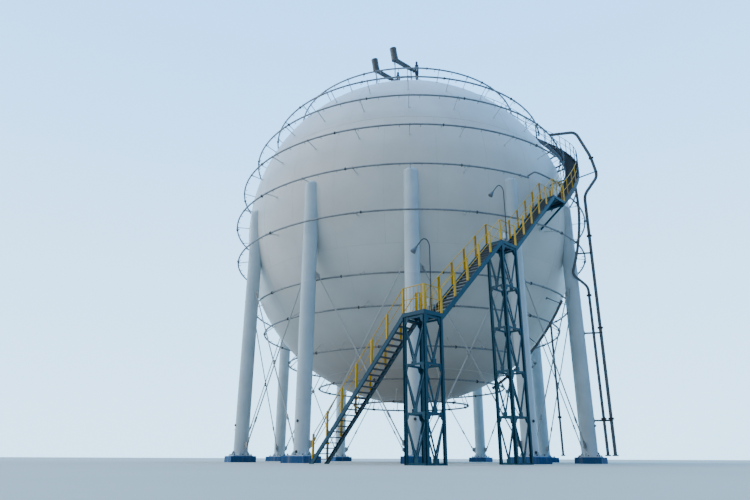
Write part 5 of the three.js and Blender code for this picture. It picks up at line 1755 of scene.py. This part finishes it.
# Stage
def toward(tree, place, direction):
    """How far each part of the studio air lies in a direction, from -1 to 1."""
    share = node_in(tree, "ShaderNodeVectorMath", {0: place, 1: direction}, operation="DOT_PRODUCT")
    return share.outputs["Value"]


def studio_air():
    """Soft light: blue and bright behind and above, neutral at the front left, dim at the front right."""
    world = bpy.data.worlds.new("studio air")
    world.use_nodes = True
    tree = world.node_tree
    place = node_in(tree, "ShaderNodeTexCoord").outputs["Generated"]
    parts = node_in(tree, "ShaderNodeSeparateXYZ", {"Vector": place})
    blue = mixed(tree, band(tree, parts.outputs["Z"], 0.0, 0.8), SKY_LOW, SKY_HIGH)
    front = band(tree, toward(tree, place, FRONT_SIDE), -0.1, 0.7)
    dim = band(tree, toward(tree, place, DIM_SIDE), 0.1, 0.9, 0.4, 0.19)
    strength = band(tree, toward(tree, place, BRIGHT_SIDE), -0.15, 0.62, dim, 3.8)
    fed(tree, tree.nodes["Background"], {"Color": mixed(tree, front, blue, FRONT_AIR), "Strength": strength})
    return world


def build_stage():
    corners = rectangle(sizes().floor_size, sizes().floor_size)
    mesh = bpy.data.meshes.new("studio_floor")
    mesh.from_pydata([(x, y, 0.0) for x, y in corners], [], [(0, 1, 2, 3)])
    mesh.materials.append(material_of("studio floor"))
    linked(mesh, "studio_floor")

    bpy.context.scene.world = studio_air()

    sun = bpy.data.lights.new("soft key", "SUN")
    sun.energy = KEY_ENERGY
    sun.angle = KEY_ANGLE
    sun.color = KEY_COLOUR
    linked(sun, "soft key").rotation_euler = KEY_SIDE.to_track_quat("Z", "Y").to_euler()

    lens = bpy.data.cameras.new("camera")
    lens.sensor_width = CAMERA_SENSOR
    lens.lens = CAMERA_LENS
    lens.clip_end = CAMERA_REACH
    camera = linked(lens, "camera")
    turn = (Matrix.Rotation(CAMERA_YAW, 4, "Z") @ Matrix.Rotation(math.radians(90.0) + CAMERA_PITCH, 4, "X")
            @ Matrix.Rotation(CAMERA_ROLL, 4, "Z"))
    camera.matrix_world = Matrix.Translation(CAMERA_PLACE) @ turn
    bpy.context.scene.camera = camera


class TankPiece:
    """What the operators of the tank share."""

    bl_options = {"REGISTER", "UNDO"}


class TANK_OT_stage(TankPiece, bpy.types.Operator):
    """Build the floor, the light and the camera"""

    bl_idname = "tank.stage"
    bl_label = "Stage"

    def execute(self, context):
        build_stage()
        return {"FINISHED"}


class TANK_OT_shell(TankPiece, bpy.types.Operator):
    """Build the spherical shell and its weld seams"""

    bl_idname = "tank.shell"
    bl_label = "Shell"

    def execute(self, context):
        build_shell()
        build_weld_seams()
        return {"FINISHED"}


class TANK_OT_legs(TankPiece, bpy.types.Operator):
    """Build the twelve legs with their blocks and anchor nuts"""

    bl_idname = "tank.legs"
    bl_label = "Legs"

    def execute(self, context):
        build_legs()
        return {"FINISHED"}


class TANK_OT_tie_rods(TankPiece, bpy.types.Operator):
    """Build the crossed tie rods with their plates and clamps"""

    bl_idname = "tank.tie_rods"
    bl_label = "Tie rods"

    def execute(self, context):
        build_tie_rods()
        return {"FINISHED"}


class TANK_OT_flights(TankPiece, bpy.types.Operator):
    """Build the three straight flights with open treads"""

    bl_idname = "tank.flights"
    bl_label = "Flights"

    def execute(self, context):
        build_flights()
        return {"FINISHED"}


class TANK_OT_landings(TankPiece, bpy.types.Operator):
    """Build the three landings"""

    bl_idname = "tank.landings"
    bl_label = "Landings"

    def execute(self, context):
        build_landings()
        return {"FINISHED"}


class TANK_OT_towers(TankPiece, bpy.types.Operator):
    """Build the two braced stair towers"""

    bl_idname = "tank.towers"
    bl_label = "Stair towers"

    def execute(self, context):
        build_towers()
        return {"FINISHED"}


class TANK_OT_handrails(TankPiece, bpy.types.Operator):
    """Build the hand rails and the lamps of the straight stair"""

    bl_idname = "tank.handrails"
    bl_label = "Hand rails"

    def execute(self, context):
        build_handrails()
        build_lamps()
        return {"FINISHED"}


class TANK_OT_crown_stair(TankPiece, bpy.types.Operator):
    """Build the winding crown stair and its rails"""

    bl_idname = "tank.crown_stair"
    bl_label = "Crown stair"

    def execute(self, context):
        build_crown_stair()
        build_crown_rails()
        return {"FINISHED"}


class TANK_OT_spray_rings(TankPiece, bpy.types.Operator):
    """Build the eleven spray rings with nozzles and stays"""

    bl_idname = "tank.spray_rings"
    bl_label = "Spray rings"

    def execute(self, context):
        build_spray_rings()
        return {"FINISHED"}


class TANK_OT_spray_risers(TankPiece, bpy.types.Operator):
    """Build the water pipes that feed the rings"""

    bl_idname = "tank.spray_risers"
    bl_label = "Spray risers"

    def execute(self, context):
        build_spray_risers()
        return {"FINISHED"}


class TANK_OT_crown_platform(TankPiece, bpy.types.Operator):
    """Build the crown platform with its grating and rail"""

    bl_idname = "tank.crown_platform"
    bl_label = "Crown platform"

    def execute(self, context):
        build_crown_frame()
        build_crown_grating()
        build_crown_fence()
        return {"FINISHED"}


class TANK_OT_vents(TankPiece, bpy.types.Operator):
    """Build the two relief vents"""

    bl_idname = "tank.vents"
    bl_label = "Relief vents"

    def execute(self, context):
        build_vents()
        return {"FINISHED"}


class TANK_OT_manways(TankPiece, bpy.types.Operator):
    """Build the crown manway and the bottom outlet"""

    bl_idname = "tank.manways"
    bl_label = "Manway and outlet"

    def execute(self, context):
        build_manways()
        return {"FINISHED"}


OPERATORS = (
    TANK_OT_stage, TANK_OT_shell, TANK_OT_legs, TANK_OT_tie_rods, TANK_OT_flights, TANK_OT_landings,
    TANK_OT_towers, TANK_OT_handrails, TANK_OT_crown_stair, TANK_OT_spray_rings, TANK_OT_spray_risers,
    TANK_OT_crown_platform, TANK_OT_vents, TANK_OT_manways,
)


class TANK_PT_sidebar(bpy.types.Panel):
    """Sizes, colours and pieces of the gas tank"""

    bl_idname = "TANK_PT_sidebar"
    bl_label = "Gas tank"
    bl_space_type = "VIEW_3D"
    bl_region_type = "UI"
    bl_category = "Gas tank"

    def draw(self, context):
        for group in (context.scene.tank_sizes, context.scene.tank_colours):
            box = self.layout.box()
            for name in group.__annotations__:
                box.prop(group, name)
        for operator in OPERATORS:
            self.layout.operator(operator.bl_idname)


CLASSES = (TankSizes, TankColours) + OPERATORS + (TANK_PT_sidebar,)


def register():
    for cls in CLASSES:
        bpy.utils.register_class(cls)
    bpy.types.Scene.tank_sizes = bpy.props.PointerProperty(type=TankSizes)
    bpy.types.Scene.tank_colours = bpy.props.PointerProperty(type=TankColours)


def unregister():
    del bpy.types.Scene.tank_colours
    del bpy.types.Scene.tank_sizes
    for cls in reversed(CLASSES):
        bpy.utils.unregister_class(cls)


def main():
    register()
    for operator in OPERATORS:
        group, name = operator.bl_idname.split(".")
        getattr(getattr(bpy.ops, group), name)()


if __name__ == "__main__":
    main()
